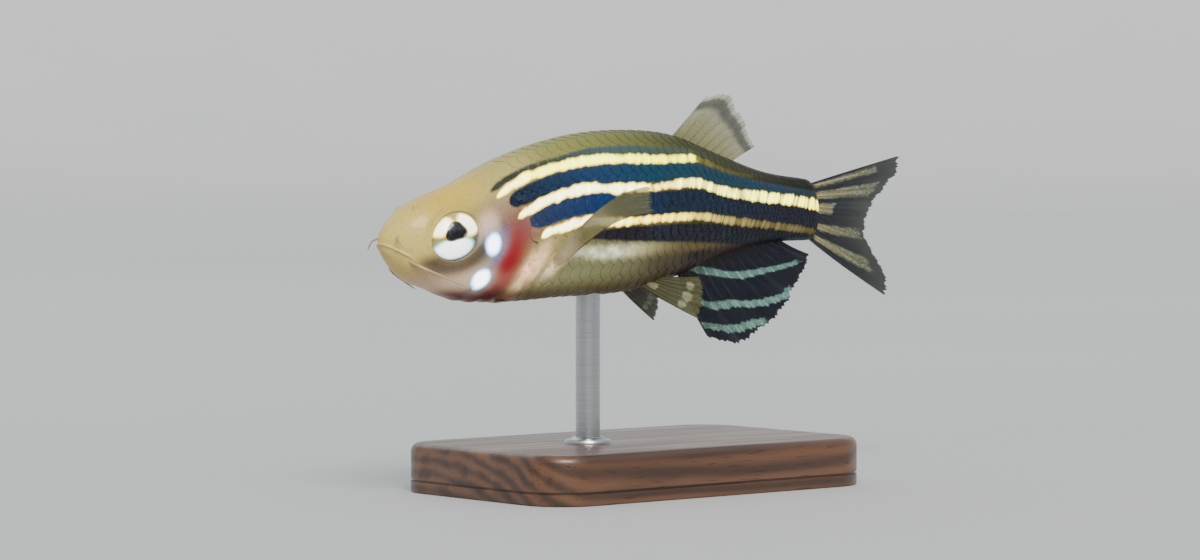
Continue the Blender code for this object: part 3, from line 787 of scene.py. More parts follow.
ring_places = BODY_LENGTH * (1 - np.cos(np.pi * np.arange(SKIN_RINGS + 1) / SKIN_RINGS)) / 2
edge_ring = float(ring_places[np.abs(ring_places - GILL_EDGE).argmin()])
along, turn = sphere_places(bm.verts)
straight = body_point(along, turn)
near_ring = np.clip(1 - np.abs(along - edge_ring) / PULL_REACH, 0, 1)
pull = (gill_edge(straight[:, 2]) - GILL_EDGE) * near_ring
along = np.clip(along + pull + (GILL_EDGE - edge_ring) * (pull < 0), 0, BODY_LENGTH)
move_points(bm, body_point(along, turn))
bmesh.ops.recalc_face_normals(bm, faces=bm.faces)
for offset in sorted({sign * cut for cut in LIP_CUTS for sign in (-1, 1)}):
    lips = [f for f in bm.faces if max(v.co.x for v in f.verts) < MOUTH_CORNER + 0.5]
    near = {e for f in lips for e in f.edges} | {v for f in lips for v in f.verts}
    bmesh.ops.bisect_plane(
        bm,
        geom=[*lips, *near],
        dist=0.004,
        plane_co=Vector((0, 0, MOUTH_FRONT + offset * math.hypot(1, MOUTH_SLOPE))),
        plane_no=Vector((MOUTH_SLOPE, 0, 1)).normalized(),
    )
bm.normal_update()
print("skin points with the mouth line:", len(bm.verts))


# %% Rises and dips of the skin
SOCKET_DEPTH = 1.15
SKIN_MERGE = 0.002


def relief(points):
    """How far the skin stands out at each point, in millimetres."""
    x, z = points[:, 0], points[:, 2]
    behind = x - gill_edge(z)
    free = ramp(z, 1.7, 1.0) * ramp(z, -4.75, -4.2)
    sunk = -GILL_STEP * np.clip(1 - behind / GILL_FADE, 0, 1) ** 1.4
    rise = np.where(behind > 0.03, sunk, GILL_LIFT * np.exp(behind / 0.45)) * free
    lips = mouth_height(x, z)
    at_lips = ramp(x, MOUTH_CORNER + 0.25, MOUTH_CORNER - 0.15)
    rise += at_lips * (0.02 * bump(np.abs(lips) - 0.14, 0.10) - 0.07 * bump(lips, 0.035))
    jaw_line = np.abs(z + 0.75 + 1.15 * (x - MOUTH_CORNER))
    rise -= 0.03 * bump(jaw_line, 0.09) * ramp(x, 1.1, 1.4) * ramp(x, 2.9, 2.2)
    nose = np.linalg.norm(folded(points) - NOSTRIL, axis=1)
    rise += 0.05 * bump(nose - 0.3, 0.08) - 0.2 * bump(nose, 0.16)
    eye = from_eye(x, z)
    rise += 0.04 * bump(eye - 1.58, 0.14) - 0.03 * bump(eye - 1.95, 0.14)
    cheek = from_oval(x, z, (4.2, -0.6), (2.3, 2.95))
    cheek_arc = ramp(x, 3.9, 5.0) * ramp(z, 1.4, 0.4)
    rise -= 0.05 * bump((cheek - 1) * 2.5, 0.10) * cheek_arc
    rise += 0.03 * bump((cheek - 1.1) * 2.5, 0.16) * cheek_arc
    throat = ramp(z, -3.3, -3.9) * ramp(x, 3.2, 4.2) * ramp(x, 8.2, 7.4)
    rise += 0.035 * np.sin((x * 0.75 + z * 0.66) * 2 * math.pi / 0.62) * throat
    return rise


points = points_of(bm)
normals = np.array([v.normal for v in bm.verts])
normals[np.array([v.is_boundary or not v.link_faces for v in bm.verts])] = 0
shaped = points + normals * (relief(points) - SKIN_DEPTH)[:, None]
x, y, z = points.T
eye = from_eye(x, z)
in_socket = (eye < EYE_OPENING) & (np.abs(y) > SIDE_FROM)
floor_depth = SOCKET_DEPTH * (1 - (eye / EYE_OPENING) ** 6)
shaped[:, 1] -= np.where(in_socket, np.sign(y) * floor_depth, 0)
move_points(bm, shaped)
bmesh.ops.remove_doubles(bm, verts=bm.verts, dist=SKIN_MERGE)
loose = [v for v in bm.verts if not v.link_faces]
bmesh.ops.delete(bm, geom=loose, context="VERTS")
bmesh.ops.recalc_face_normals(bm, faces=bm.faces)
open_edges = sum(1 for e in bm.edges if len(e.link_faces) != 2)
print("skin faces:", len(bm.faces), "open edges:", open_edges)

# %% The skin in its pose
FLESH = ["head", "lower_jaw", "gill_cover_left", "gill_cover_right", "trunk", "tail_stem"]
skin = pose_piece(new_object("skin", bm), marked=True)
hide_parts(*FLESH)

# %% [markdown]
# Skin, scales and fins of a danio share one finish: a thin wet film over pigment, with grains of
# dark pigment and tiny mirror flecks in it. Those two belong in a node group, so that skin, scales
# and fins can each place it with their own grain. The bands' edges are cut in the material, where
# noise can make them ragged more finely than the mesh could.


# %% Shared effect: pigment grains and mirror flecks
def node_group(name, inputs, outputs):
    tree = bpy.data.node_groups.new(name, "ShaderNodeTree")
    for socket, kind, value in inputs:
        made = tree.interface.new_socket(socket, in_out="INPUT", socket_type="NodeSocket" + kind)
        if value is not None:
            made.default_value = value
    for socket, kind in outputs:
        tree.interface.new_socket(socket, in_out="OUTPUT", socket_type="NodeSocket" + kind)
    return tree, tree.nodes.new("NodeGroupInput").outputs, tree.nodes.new("NodeGroupOutput").inputs


def pigment_grains():
    """Dark grains, mirror flecks and a fine unevenness, from a place in millimetres."""
    tree, given, out = node_group(
        "pigment_grains",
        (("Place", "Vector", None), ("Grain", "Float", 7.0)),
        (("Grains", "Float"), ("Flecks", "Float"), ("Clouds", "Float")),
    )
    dots = place_node(tree, "TexVoronoi", Vector=given["Place"], Scale=given["Grain"])
    tree.links.new(slope(dots.outputs["Distance"], 0.12, 0.34, 1.0, 0.0), out["Grains"])
    fine = times(given["Grain"], 2.3)
    cells = place_node(tree, "TexVoronoi", Vector=given["Place"], Scale=fine)
    bright = place_node(tree, "SeparateColor", Color=cells.outputs["Color"]).outputs[0]
    tree.links.new(slope(bright, 0.55, 1.0), out["Flecks"])
    clouds = place_node(tree, "TexNoise", Vector=given["Place"], Scale=1.3, Detail=4.0)
    tree.links.new(clouds.outputs["Fac"], out["Clouds"])
    return tree


GRAINS = pigment_grains()


def grains_in(paint, place, size):
    made = paint.node("Group", {"node_tree": GRAINS}, Place=place, Grain=size)
    return made.outputs["Grains"], made.outputs["Flecks"], made.outputs["Clouds"]


# %% The skin's and the scales' paint
BAND_GLOW = 5.0  # painted glow, strong on the gold bands and the gill cover's glints: brighter than any white paint could be
SHADE_GLOW = 0.2  # how much of the painted glow is left on the side turned away from the lamp
# strength of the painted glow on patches of silvery flesh
FLESH_GLOW = 0.16
BAR_LEAN = math.radians(24)
LONG_BARS = (0.50, 4.0, 2.0)  # the mirror cells of a band lie in slanting bars, wide ones in front
SHORT_BARS = (0.30, 4.0, 2.2)  # and narrow ones towards the tail
SPOTS_END = (6.9, 7.6)  # ahead of this the mirror cells are those of the two spots, without bars


def cell_bars(paint, place, size):
    """Noise drawn out into slanting bars; size is that of one bar, in millimetres."""
    return paint.noise(paint.mapped(place, size, "TEXTURE", Rotation=(0, BAR_LEAN, 0)), 1.0, 1.0)


def shaded(paint, glow, place):
    """The painted glow, weaker on the fish's right side, which is turned away from the lamp."""
    sideward = paint.node("SeparateXYZ", Vector=place).outputs["Y"]
    return times(glow, slope(sideward, -0.5, 0.5, 1.0, SHADE_GLOW))


def danio_paint(name, ragged, relief_depth):
    """The fish's markings; ragged says how uneven the bands' edges are, in millimetres."""
    paint = Paint(name)
    place = paint.kept("fish", "Vector")
    tailward = paint.node("SeparateXYZ", Vector=place).outputs["X"]
    grains, flecks, clouds = grains_in(paint, place, 6.5)

    # how far inside a gold or blue band each place lies, with the ragged edge of the cells
    wobble = times_plus(paint.noise(place, 1.9), ragged * 2, -ragged)
    long_bars, short_bars = (cell_bars(paint, place, size) for size in (LONG_BARS, SHORT_BARS))
    bars = mixed(slope(tailward, 17, 27), long_bars, short_bars)
    uneven = plus(times_plus(bars, 0.36, -0.18), wobble)
    uneven = times(uneven, slope(tailward, *SPOTS_END, 0.1, 1.0))
    gold_in = plus(paint.kept("gold_edge"), uneven)
    blue_in = maths("SUBTRACT", paint.kept("blue_edge"), wobble)
    gold = slope(gold_in, -0.08, 0.06)
    blue = slope(blue_in, -0.10, 0.10)

    # pigment: the ground, then the blue bands, then the gold ones with their gaps
    ground = dusted(paint.kept("ground", "Color"), grains, 0.38, srgb(58, 54, 30))
    ground = dusted(ground, clouds, 0.3, srgb(236, 224, 180), "OVERLAY")
    night = dusted(paint.kept("blue", "Color"), flecks, 0.2, srgb(60, 110, 150))
    gold_tone = paint.kept("gold", "Color")
    sun = mixed(slope(gold_in, 0.02, 0.20), paint.kept("fringe", "Color"), gold_tone)
    gaps = times(slope(bars, 0.56, 0.40), slope(tailward, 13, 27, 0.05, 0.75))
    sun = mixed(gaps, sun, srgb(106, 92, 40))
    colour = mixed(gold, mixed(blue, ground, night), sun)

    # painted glow: strong on bright gold and the gill cover's glints, soft on patches of silvery flesh
    bright = paint.node("SeparateColor", Color=gold_tone).outputs[0]
    glow = times(slope(gold_in, -0.05, 0.11), slope(bright, 0.3, 0.95))
    glow = times(glow, slope(tailward, *SPOTS_END, 1.0, 0.85))
    patchy = slope(wobble, -0.5 * ragged, 0.5 * ragged, 0.2 * FLESH_GLOW, 1.4 * FLESH_GLOW)
    flesh_glow = mixed(times(paint.kept("flesh_glow"), patchy), (0, 0, 0), colour)

    mirror = times_plus(blue, 0.2, times(gold, 0.30))
    paint.join(
        Base_Color=colour,
        Emission_Color=mixed(shaded(paint, glow, place), flesh_glow, sun),
        Metallic=times_plus(flecks, 0.10, mirror, clamp=True),
        Coat_Weight=slope(tailward, 8.0, 32.0, 0.18, 0.04),
    )
    paint.rough(clouds, 0.30, 0.46)
    paint.bumpy(times_plus(flecks, 0.5, clouds), 0.35, relief_depth)
    paint.constants(Emission_Strength=BAND_GLOW, Coat_Roughness=0.12, IOR=1.34, Specular_IOR_Level=0.3)
    return paint.material


skin_paint = danio_paint("danio_skin", 0.07, 0.02)
skin.data.materials.append(skin_paint)
print("materials:", len(bpy.data.materials))

# %% [markdown]
# A fin is a film of skin stretched over bony rays. Each ray starts as one rod and forks half way
# out, and the film draws back a little between the tips. All of that can be read from a flat grid:
# eight columns of points to a ray, whose middle columns are the ray and spread apart where it
# forks. A vertex group tells Solidify to make the film thin and the rays thick, and the grid's own
# coordinates, kept as an attribute, later carry the fin's stripes.

# %% A fin from a grid
COLUMNS_PER_RAY = 8
FILM = 0.07
RAY_ROOT = 0.26
RAY_TIP = 0.10
TIP_THIN = 0.45  # thickness left at a fin's edge, as a share
FORK_FROM, FORK_TO = 0.38, 0.72
FILM_NOTCH = 0.025
TIP_UNEVEN = (-0.016, 0.010)
# one value for each column from a ray's middle to half way to the next ray
COLUMNS_CLOSE = (0, 0.07, 0.15, 0.30, 0.5)
COLUMNS_APART = (0, 0.19, 0.30, 0.38, 0.5)
RAY_SINGLE = (1.0, 0.8, 0.0, 0.0, 0.0)
RAY_FORKED = (0.1, 0.85, 0.15, 0.0, 0.0)


def ray_columns(across, along, rays):
    """Moves the columns of each ray apart where it forks; gives new shares and the ray's height."""
    spans = rays - 1
    step = np.rint(across * spans * COLUMNS_PER_RAY).astype(int)
    place = (step + COLUMNS_PER_RAY // 2) % COLUMNS_PER_RAY - COLUMNS_PER_RAY // 2
    ray = (step - place) // COLUMNS_PER_RAY
    fork = ramp(along, FORK_FROM, FORK_TO)
    ranks = np.arange(COLUMNS_PER_RAY // 2 + 1)
    close, apart, single, forked = (
        np.interp(np.abs(place), ranks, values)
        for values in (COLUMNS_CLOSE, COLUMNS_APART, RAY_SINGLE, RAY_FORKED)
    )
    offset = np.sign(place) * mix(close, apart, fork)
    return np.clip((ray + offset) / spans, 0, 1), mix(single, forked, fork), ray


def make_fin(name, place, rays, rows, pattern, seed=1, curl=0.0):
    """A fin whose place function gives points for shares across the rays and along them."""
    bm = bmesh.new()
    bmesh.ops.create_grid(bm, x_segments=COLUMNS_PER_RAY * (rays - 1), y_segments=rows, size=1)
    flat = points_of(bm)
    across, along = (flat[:, 0] + 1) / 2, (flat[:, 1] + 1) / 2
    across, height, ray = ray_columns(across, along, rays)
    uneven = np.random.default_rng(seed).uniform(*TIP_UNEVEN, rays + 1)
    reach = along * (1 + uneven[ray] - FILM_NOTCH * (1 - np.clip(height * 1.3, 0, 1)) * along)
    points = place(across, reach)
    wave = np.sin(across * math.pi * 5 + seed) + 0.5 * np.sin(across * math.pi * 13 + 2 * seed)
    points[:, 1] += curl * wave * along**2
    thickness = FILM + mix(RAY_ROOT - FILM, RAY_TIP - FILM, along) * height
    thickness *= mix(1, TIP_THIN, along**3)
    weights = bm.verts.layers.deform.verify()
    for vertex, share in zip(bm.verts, thickness / RAY_ROOT):
        vertex[weights][0] = share
    move_points(bm, points)
    made = new_object(name, bm)
    made.vertex_groups.new(name="thickness")
    shell = made.modifiers.new("thickness", "SOLIDIFY")
    shell.thickness = RAY_ROOT * MM
    shell.offset = 0
    shell.vertex_group = "thickness"
    keep_values(made.data, "fin", np.stack((across, along, 0 * along), axis=-1))
    keep_values(made.data, "ray", height)
    for value_name, values in pattern(across, along).items():
        keep_values(made.data, value_name, values)
    pose_piece(made)
    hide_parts(name)
    return made


# %% Where each fin grows
CAUDAL_ROOT = (1.62, -1.58)
CAUDAL_ANGLES = (11, -30)
CAUDAL_LENGTH = curve_through((0, 0.1, 0.28, 0.5, 0.72, 0.9, 1), (9.8, 9.3, 6.8, 5.3, 6.2, 8.1, 8.5))
PECTORAL_ROOT = ((10.0, -2.9), (10.35, -3.45))
PECTORAL_LENGTH = 7.8
PECTORAL_POSES = {
    "left": dict(angles=(67, 60), bend=66, standoff=1.5, outwards=2.4, ahead=2.0),
    "right": dict(angles=(50, 34), bend=46, standoff=3.6, outwards=0.8, ahead=0.4),
}
PELVIC_ROOT = (17.5, 18.7)
PELVIC_LENGTHS = (5.2, 3.6)
PELVIC_ANGLES = (-35, -8)


def curved_ray(root, angle, bend, reach):
    """The point (x, z) at a reach along a ray; angles are in degrees from the tail's way."""
    lean = np.radians(angle) - np.radians(bend) / 2
    return root[0] + reach * np.cos(lean), root[1] + reach * np.sin(lean)


def median_fin(span, edge, sink, leans, bend, lengths, sway):
    """A fin on the back or belly line, from its first and last ray's place and lean."""
    length = curve_through(*zip(*lengths))

    def place(across, along):
        x = mix(*span, across)
        root = (x, edge(x) - sink)
        x, z = curved_ray(root, mix(*leans, across), bend * along, length(across) * along)
        return np.stack((x, sway * along**2, z), axis=-1)

    return place


def caudal_place(across, along):
    root = (STANDARD_LENGTH - 0.5, mix(*CAUDAL_ROOT, across))
    x, z = curved_ray(root, mix(*CAUDAL_ANGLES, across), 0, CAUDAL_LENGTH(across) * along)
    return np.stack((x, -(along**2), z), axis=-1)


def pectoral_place(side, angles, bend, standoff, outwards, ahead):
    """The last ray is spread outwards and ahead, so the fan stands open like a hand."""
    clear = curve_through((0, 0.1, 0.3, 1), (-0.7, 0.3, 0.95, standoff))
    first, last = PECTORAL_ROOT

    def place(across, along):
        root = (mix(first[0], last[0], across), mix(first[1], last[1], across))
        reach = PECTORAL_LENGTH * mix(1, 0.9, across**1.3) * along
        x, z = curved_ray(root, mix(*angles, across), bend * along, reach)
        out = flank(x, z) + clear(along) + outwards * across * along
        return np.stack((x - ahead * across * along, side * out, z), axis=-1)

    return place


def pelvic_place(side):
    def place(across, along):
        x = mix(*PELVIC_ROOT, across)
        reach = mix(*PELVIC_LENGTHS, across**1.3) * along
        root = (x, belly(x) + 0.7)
        x, z = curved_ray(root, mix(*PELVIC_ANGLES, across), -8 * along, reach)
        return np.stack((x, side * mix(0.8, 2.0, along), z), axis=-1)

    return place


dorsal_place = median_fin(
    span=(21.4, 26.2),
    edge=back,
    sink=0.9,
    leans=(40, 24),
    bend=8,
    lengths=((0, 5.6), (0.12, 6.6), (0.5, 6.1), (1, 4.5)),
    sway=0.5,
)
anal_place = median_fin(
    span=(22.0, 30.2),
    edge=belly,
    sink=-0.9,
    leans=(-72, -30),
    bend=-12,
    lengths=((0, 5.5), (0.15, 6.7), (0.4, 7.0), (0.7, 6.1), (1, 4.4)),
    sway=-0.5,
)


# %% Stripes and film of the fins
def tones(share, *colours):
    """A colour from a row of colours, by a share from 0 to 1."""
    return tones_between(share, np.linspace(0, 1, len(colours)), colours)


def streak(across, along, places, half):
    """How far inside a streak a point lies, as a share; places are (across, along)."""
    ends = (places[0][0], places[-1][0])
    level = curve_through(*zip(*places))
    inside = half - np.abs(along - level(across))
    return np.minimum(inside, np.minimum(across - ends[0], ends[1] - across) * 0.9)


def lengthwise(across, along, start, end, half):
    """A streak that runs out along the rays, from (across, along) to (across, along)."""
    share = (along - start[1]) / (end[1] - start[1])
    middle_share = mix(start[0], end[0], np.clip(share, 0, 1))
    inside = half - np.abs(across - middle_share)
    return np.minimum(inside, np.minimum(share, 1 - share) * 0.3)


ANAL_STREAKS = (
    ((0.06, 0.10), (0.27, 0.25), (0.44, 0.41), (0.62, 0.54), (0.80, 0.74), (0.90, 0.88)),
    ((0.02, 0.47), (0.12, 0.55), (0.27, 0.62), (0.41, 0.75), (0.60, 0.93), (0.70, 0.99)),
    ((0.0, 0.84), (0.13, 0.83), (0.23, 0.87), (0.40, 0.97)),
)


def anal_pattern(across, along):
    inside = np.max([streak(across, along, one, 0.048) for one in ANAL_STREAKS], axis=0)
    return {
        "ground": tones(along, (40, 34, 32), (10, 14, 30), (8, 12, 28), (10, 14, 28)),
        "light": tones(across, (84, 116, 96), (122, 176, 160), (112, 168, 156), (96, 144, 130)),
        "light_edge": inside * 6,
        "cover": mix(0.97, 0.88, along),
    }


CAUDAL_STREAKS = (
    ((0.43, 0.0), (0.40, 0.50), 0.075),
    ((0.72, 0.05), (0.61, 0.95), 0.05),
    ((0.90, 0.10), (0.85, 0.85), 0.05),
    ((0.22, 0.10), (0.20, 0.90), 0.055),
    ((0.06, 0.12), (0.05, 0.80), 0.03),
)


def caudal_pattern(across, along):
    inside = np.max([lengthwise(across, along, *one) for one in CAUDAL_STREAKS], axis=0)
    return {
        "ground": tones(along, (58, 56, 60), (34, 38, 46), (30, 34, 38), (40, 42, 38)),
        "light": tones(along, (250, 226, 150), (176, 166, 112), (122, 122, 82), (104, 106, 74)),
        "light_edge": inside * 5,
        "cover": mix(0.97, 0.72, along**1.5),
    }


def dorsal_pattern(across, along):
    dark = ramp(along, 0.66, 0.78) * ramp(along, 0.96, 0.88)
    film = tones(along, (96, 94, 48), (132, 130, 76), (140, 138, 92), (170, 170, 140))
    return {
        "ground": lay(film, srgb(52, 60, 66), dark * 0.8),
        "light": tones(along, (190, 176, 96), (176, 168, 104)),
        "light_edge": np.full(len(along), -1.0),
        "cover": mix(0.8, 0.42, along) + 0.3 * dark,
    }


def paired_pattern(film, spots, cover):
    """The film of a pectoral or pelvic fin, with a few pale spots."""

    def pattern(across, along):
        inside = np.full(len(along), -1.0)
        for place_across, place_along, radius in spots:
            off = np.hypot((across - place_across) * 0.5, along - place_along)
            inside = np.maximum(inside, radius - off)
        return {
            "ground": tones(along, *film),
            "light": tones(along, (168, 168, 118), (150, 152, 108)),
            "light_edge": inside * 5,
            "cover": np.interp(along, *cover),
        }

    return pattern


PELVIC_SPOTS = ((0.33, 0.27, 0.09), (0.71, 0.80, 0.07), (0.39, 0.78, 0.08), (0.15, 0.74, 0.06))
# the pale first tone at the root is partly its flesh, partly painted light that makes up for the shade there
PECTORAL_FILM = ((250, 228, 196), (124, 116, 78), (88, 88, 54), (80, 80, 50))
PECTORAL_COVER = ((0, 0.15, 0.4, 1), (0.45, 0.5, 0.82, 0.55))
PELVIC_FILM = ((96, 90, 58), (70, 70, 42), (84, 84, 56))
pectoral_pattern = paired_pattern(PECTORAL_FILM, (), PECTORAL_COVER)
pelvic_pattern = paired_pattern(PELVIC_FILM, PELVIC_SPOTS, ((0, 1), (0.95, 0.8)))

# %% The fins' paint
def fin_paint(name):
    paint = Paint(name)
    place = paint.kept("fish", "Vector")
    grains, flecks, clouds = grains_in(paint, place, 7.0)
    ray = paint.kept("ray")
    wobble = paint.noise(place, 2.6, 2.0)
    edge = plus(paint.kept("light_edge"), times_plus(wobble, 0.2, -0.1))
    light_share = slope(edge, -0.05, 0.12)
    film = dusted(paint.kept("ground", "Color"), grains, 0.5, srgb(26, 26, 20))
    film = dusted(film, ray, 0.35, srgb(176, 168, 120), "OVERLAY")
    light = dusted(paint.kept("light", "Color"), flecks, 0.5, srgb(220, 240, 232))
    light = mixed(times_plus(ray, -0.45, 0.45), light, film)
    paint.join(Base_Color=mixed(light_share, film, light))
    cover = paint.kept("cover")
    bony = maths("MINIMUM", times(ray, 0.96), plus(cover, 0.25))
    solid = maths("MAXIMUM", cover, bony)
    solid = maths("MAXIMUM", solid, times(light_share, 0.95))
    paint.join(Alpha=solid)
    paint.join(Metallic=times(light_share, 0.35))
    paint.rough(clouds, 0.25, 0.45)
    joints = paint.node("SeparateXYZ", Vector=paint.kept("fin", "Vector")).outputs["Y"]
    joints = maths("SINE", times(joints, 190.0))
    height = times_plus(times(joints, ray), 0.4, clouds)
    paint.bumpy(height, 0.4, 0.03)
    paint.constants(Coat_Weight=0.2, Coat_Roughness=0.12, IOR=1.38, Specular_IOR_Level=0.3)
    return paint.material


# %% All seven fins
fin_finish = fin_paint("fin_film")
fins = [
    make_fin("dorsal_fin", dorsal_place, 9, 36, dorsal_pattern, 2, 0.06),
    make_fin("anal_fin", anal_place, 14, 40, anal_pattern, 3, 0.09),
    make_fin("caudal_fin", caudal_place, 19, 44, caudal_pattern, 4, 0.10),
]
for side, sign in SIDES.items():
    raised = pectoral_place(sign, **PECTORAL_POSES[side])
    fins.append(make_fin("pectoral_fin_" + side, raised, 11, 36, pectoral_pattern, 5, 0.03))
    fins.append(make_fin("pelvic_fin_" + side, pelvic_place(sign), 8, 28, pelvic_pattern, 6, 0.04))
for fin in fins:
    fin.data.materials.append(fin_finish)
print("fins:", len(fins), "faces before thickness:", sum(len(fin.data.polygons) for fin in fins))

# %% [markdown]
# Scales are thin plates that lie like roof tiles: the front of each is buried in the skin and its
# round rear edge rides over the next. A squashed sphere of a few dozen faces is enough for one.
# Rows are spread evenly between back and belly and get narrower towards the tail with the body, so
# the scales shrink there as real ones do. Each point of a scale is laid on the body's own curve.

# %% One scale, and the rows it is laid in
SCALE_ROWS = 12
SCALE_FACES = (16, 6)
SCALE_THICK = 0.008
SCALE_FLAT = 0.95  # where the flat top ends, as a share of the half size
SCALE_OVERLAP = (0.95, 0.66)  # half sizes, as shares of the spacing along and across
SCALE_BURIED = 0.022
SCALE_RAISED = 0.024
FIRST_SCALE = 7.2
LAST_SCALE = 35.3
TAIL_CURVE = 0.22  # the last scales end in a curve round the root of the tail fin

bm = bmesh.new()
bmesh.ops.create_uvsphere(bm, u_segments=SCALE_FACES[0], v_segments=SCALE_FACES[1], radius=1)
one_scale = bpy.data.meshes.new("one_scale")
bm.to_mesh(one_scale)
bm.free()
scale_form = mesh_points(one_scale)
rims = np.hypot(scale_form[:, 0], scale_form[:, 1])
scale_form[:, :2] *= np.where((rims > 0.7) & (rims < 0.99), SCALE_FLAT / 0.866, 1)[:, None]
scale_form[:, 2] = np.where(rims < 0.99, np.sign(scale_form[:, 2]), 0)
table_turns = np.linspace(0, math.pi, 200)
table_points = body_point(np.full(200, 17.0), table_turns)
table_steps = np.linalg.norm(np.diff(table_points, axis=0), axis=1)
table_shares = np.concatenate(([0], np.cumsum(table_steps))) / table_steps.sum()


def turn_at(share):
    """The turn round the body at a share of the way from the back to the belly."""
    over = np.clip(share - 1, 0, None)
    turned = np.interp(np.abs(share) - 2 * over, table_shares, table_turns)
    return np.where(share < 0, -turned, np.where(over > 0, 2 * math.pi - turned, turned))


def body_normal(x, turn):
    ahead = body_point(x + 0.02, turn) - body_point(x - 0.02, turn)
    round_it = body_point(x, turn + 0.01) - body_point(x, turn - 0.01)
    normal = np.cross(ahead, round_it)
    return normal / np.maximum(np.linalg.norm(normal, axis=-1, keepdims=True), 1e-9)


def spacing(x):
    return 0.05 + 0.074 * (back(x) - belly(x))


columns = [FIRST_SCALE]
while columns[-1] < LAST_SCALE:
    columns.append(columns[-1] + float(spacing(columns[-1])))
print("columns of scales:", len(columns), "spacing at the tail:", round(float(spacing(34)), 2), "mm")


# %% The coat of one side
def lay_scales(side, sign):
    rng = np.random.default_rng(11 + sign)
    spots = []
    for row in range(SCALE_ROWS):
        for column, place in enumerate(columns[:-1]):
            share = (row + 0.5) / SCALE_ROWS
            x = place + 0.5 * spacing(place) * (row % 2)
            z = body_point(x, turn_at(share))[2]
            if x > gill_edge(z) + 0.35 + 0.4 * (z > 1.6) and x < LAST_SCALE - TAIL_CURVE * z * z:
                spots.append((x, share, spacing(x), *rng.uniform(-1, 1, 3)))
    spots = np.array(spots)
    x, share, step, tip, shift, size = (spots[:, k, None] for k in range(6))
    a, b, w = scale_form.T
    half_long = step * SCALE_OVERLAP[0] * (1 + 0.05 * size)
    xs = x + a * half_long + 0.03 * shift * step
    shares = share + b * SCALE_OVERLAP[1] / SCALE_ROWS * (1 + 0.05 * size) * np.sqrt(1 - 0.25 * a * a)
    turns = sign * turn_at(shares)
    surface = body_point(xs, turns)
    lift = mix(-SCALE_BURIED, SCALE_RAISED * (1 + 0.2 * tip), (a + 1) / 2) * step / 0.75
    lift = lift + w * SCALE_THICK - SKIN_DEPTH + relief(surface.reshape(-1, 3)).reshape(xs.shape)
    points = surface + sign * body_normal(xs, turns) * lift[..., None]
    bm = bmesh.new()
    for _ in range(len(spots)):
        bm.from_mesh(one_scale)
    flat = points.reshape(-1, 3)
    move_points(bm, flat)
    bmesh.ops.recalc_face_normals(bm, faces=bm.faces)
    made = new_object("scales_" + side, bm)
    root = np.stack((0.02 + 0.96 * x / 36, 0.5 + sign * 0.48 * share), axis=-1)
    patch = np.stack((a, b), axis=-1) * 0.0015
    places = (root + patch).reshape(-1, 2)
    corners = np.empty(len(made.data.loops), int)
    made.data.loops.foreach_get("vertex_index", corners)
    made.data.uv_layers.new(name="OFBake").data.foreach_set("uv", places[corners].ravel())
    return pose_piece(made, marked=True)


coats = [lay_scales(side, sign) for side, sign in SIDES.items()]
for coat in coats:
    coat.data.materials.append(skin_paint)
    triangles = sum(len(p.vertices) - 2 for p in coat.data.polygons)
    one = sum(len(p.vertices) - 2 for p in one_scale.polygons)
    print(coat.name, "scales:", triangles // one, "triangles:", triangles)

# %% [markdown]
# The eye is a flattened ball behind a clear dome. A danio's iris is a mirror: broken by grey-green
# gaps over, before and behind the pupil, it shines in two yellow-white fields above and one white
# crescent below. The pupil is a hole, so it is sunk in and dark. The dome is made of the two
# surfaces of a lens and lets the lamp's light through to the iris without bending its shadow.

# %% The iris: where it shines
IRIS_RADII = (1.56, 0.82, 1.45)
# strength of the painted glow on the iris's mirror fields
IRIS_GLOW = 2.6
EYE_TURN = math.radians(10)  # how far each eye looks ahead of straight sideways
PUPIL_CENTRE = np.array((-0.06, 0.27))
PUPIL_RADII = (0.62, 0.53)
MIRRORS = (
    # centre (u, v), radii, inner colour, rim colour
    ((-0.90, 0.72), (0.78, 0.62), (255, 254, 214), (236, 214, 70)),
    ((0.84, 0.68), (0.88, 0.84), (255, 254, 222), (240, 226, 84)),
    ((-0.18, -0.70), (1.30, 0.66), (250, 255, 255), (120, 214, 222)),
)


def eye_place(form, sign):
    """Points of an eye made round the origin, turned ahead and moved to its side of the head."""
    turn = sign * EYE_TURN
    x = form[:, 0] * math.cos(turn) - form[:, 1] * math.sin(turn)
    y = form[:, 0] * math.sin(turn) + form[:, 1] * math.cos(turn)
    return np.stack((x, y, form[:, 2]), axis=-1) + EYE_CENTRE * (1, sign, 1)


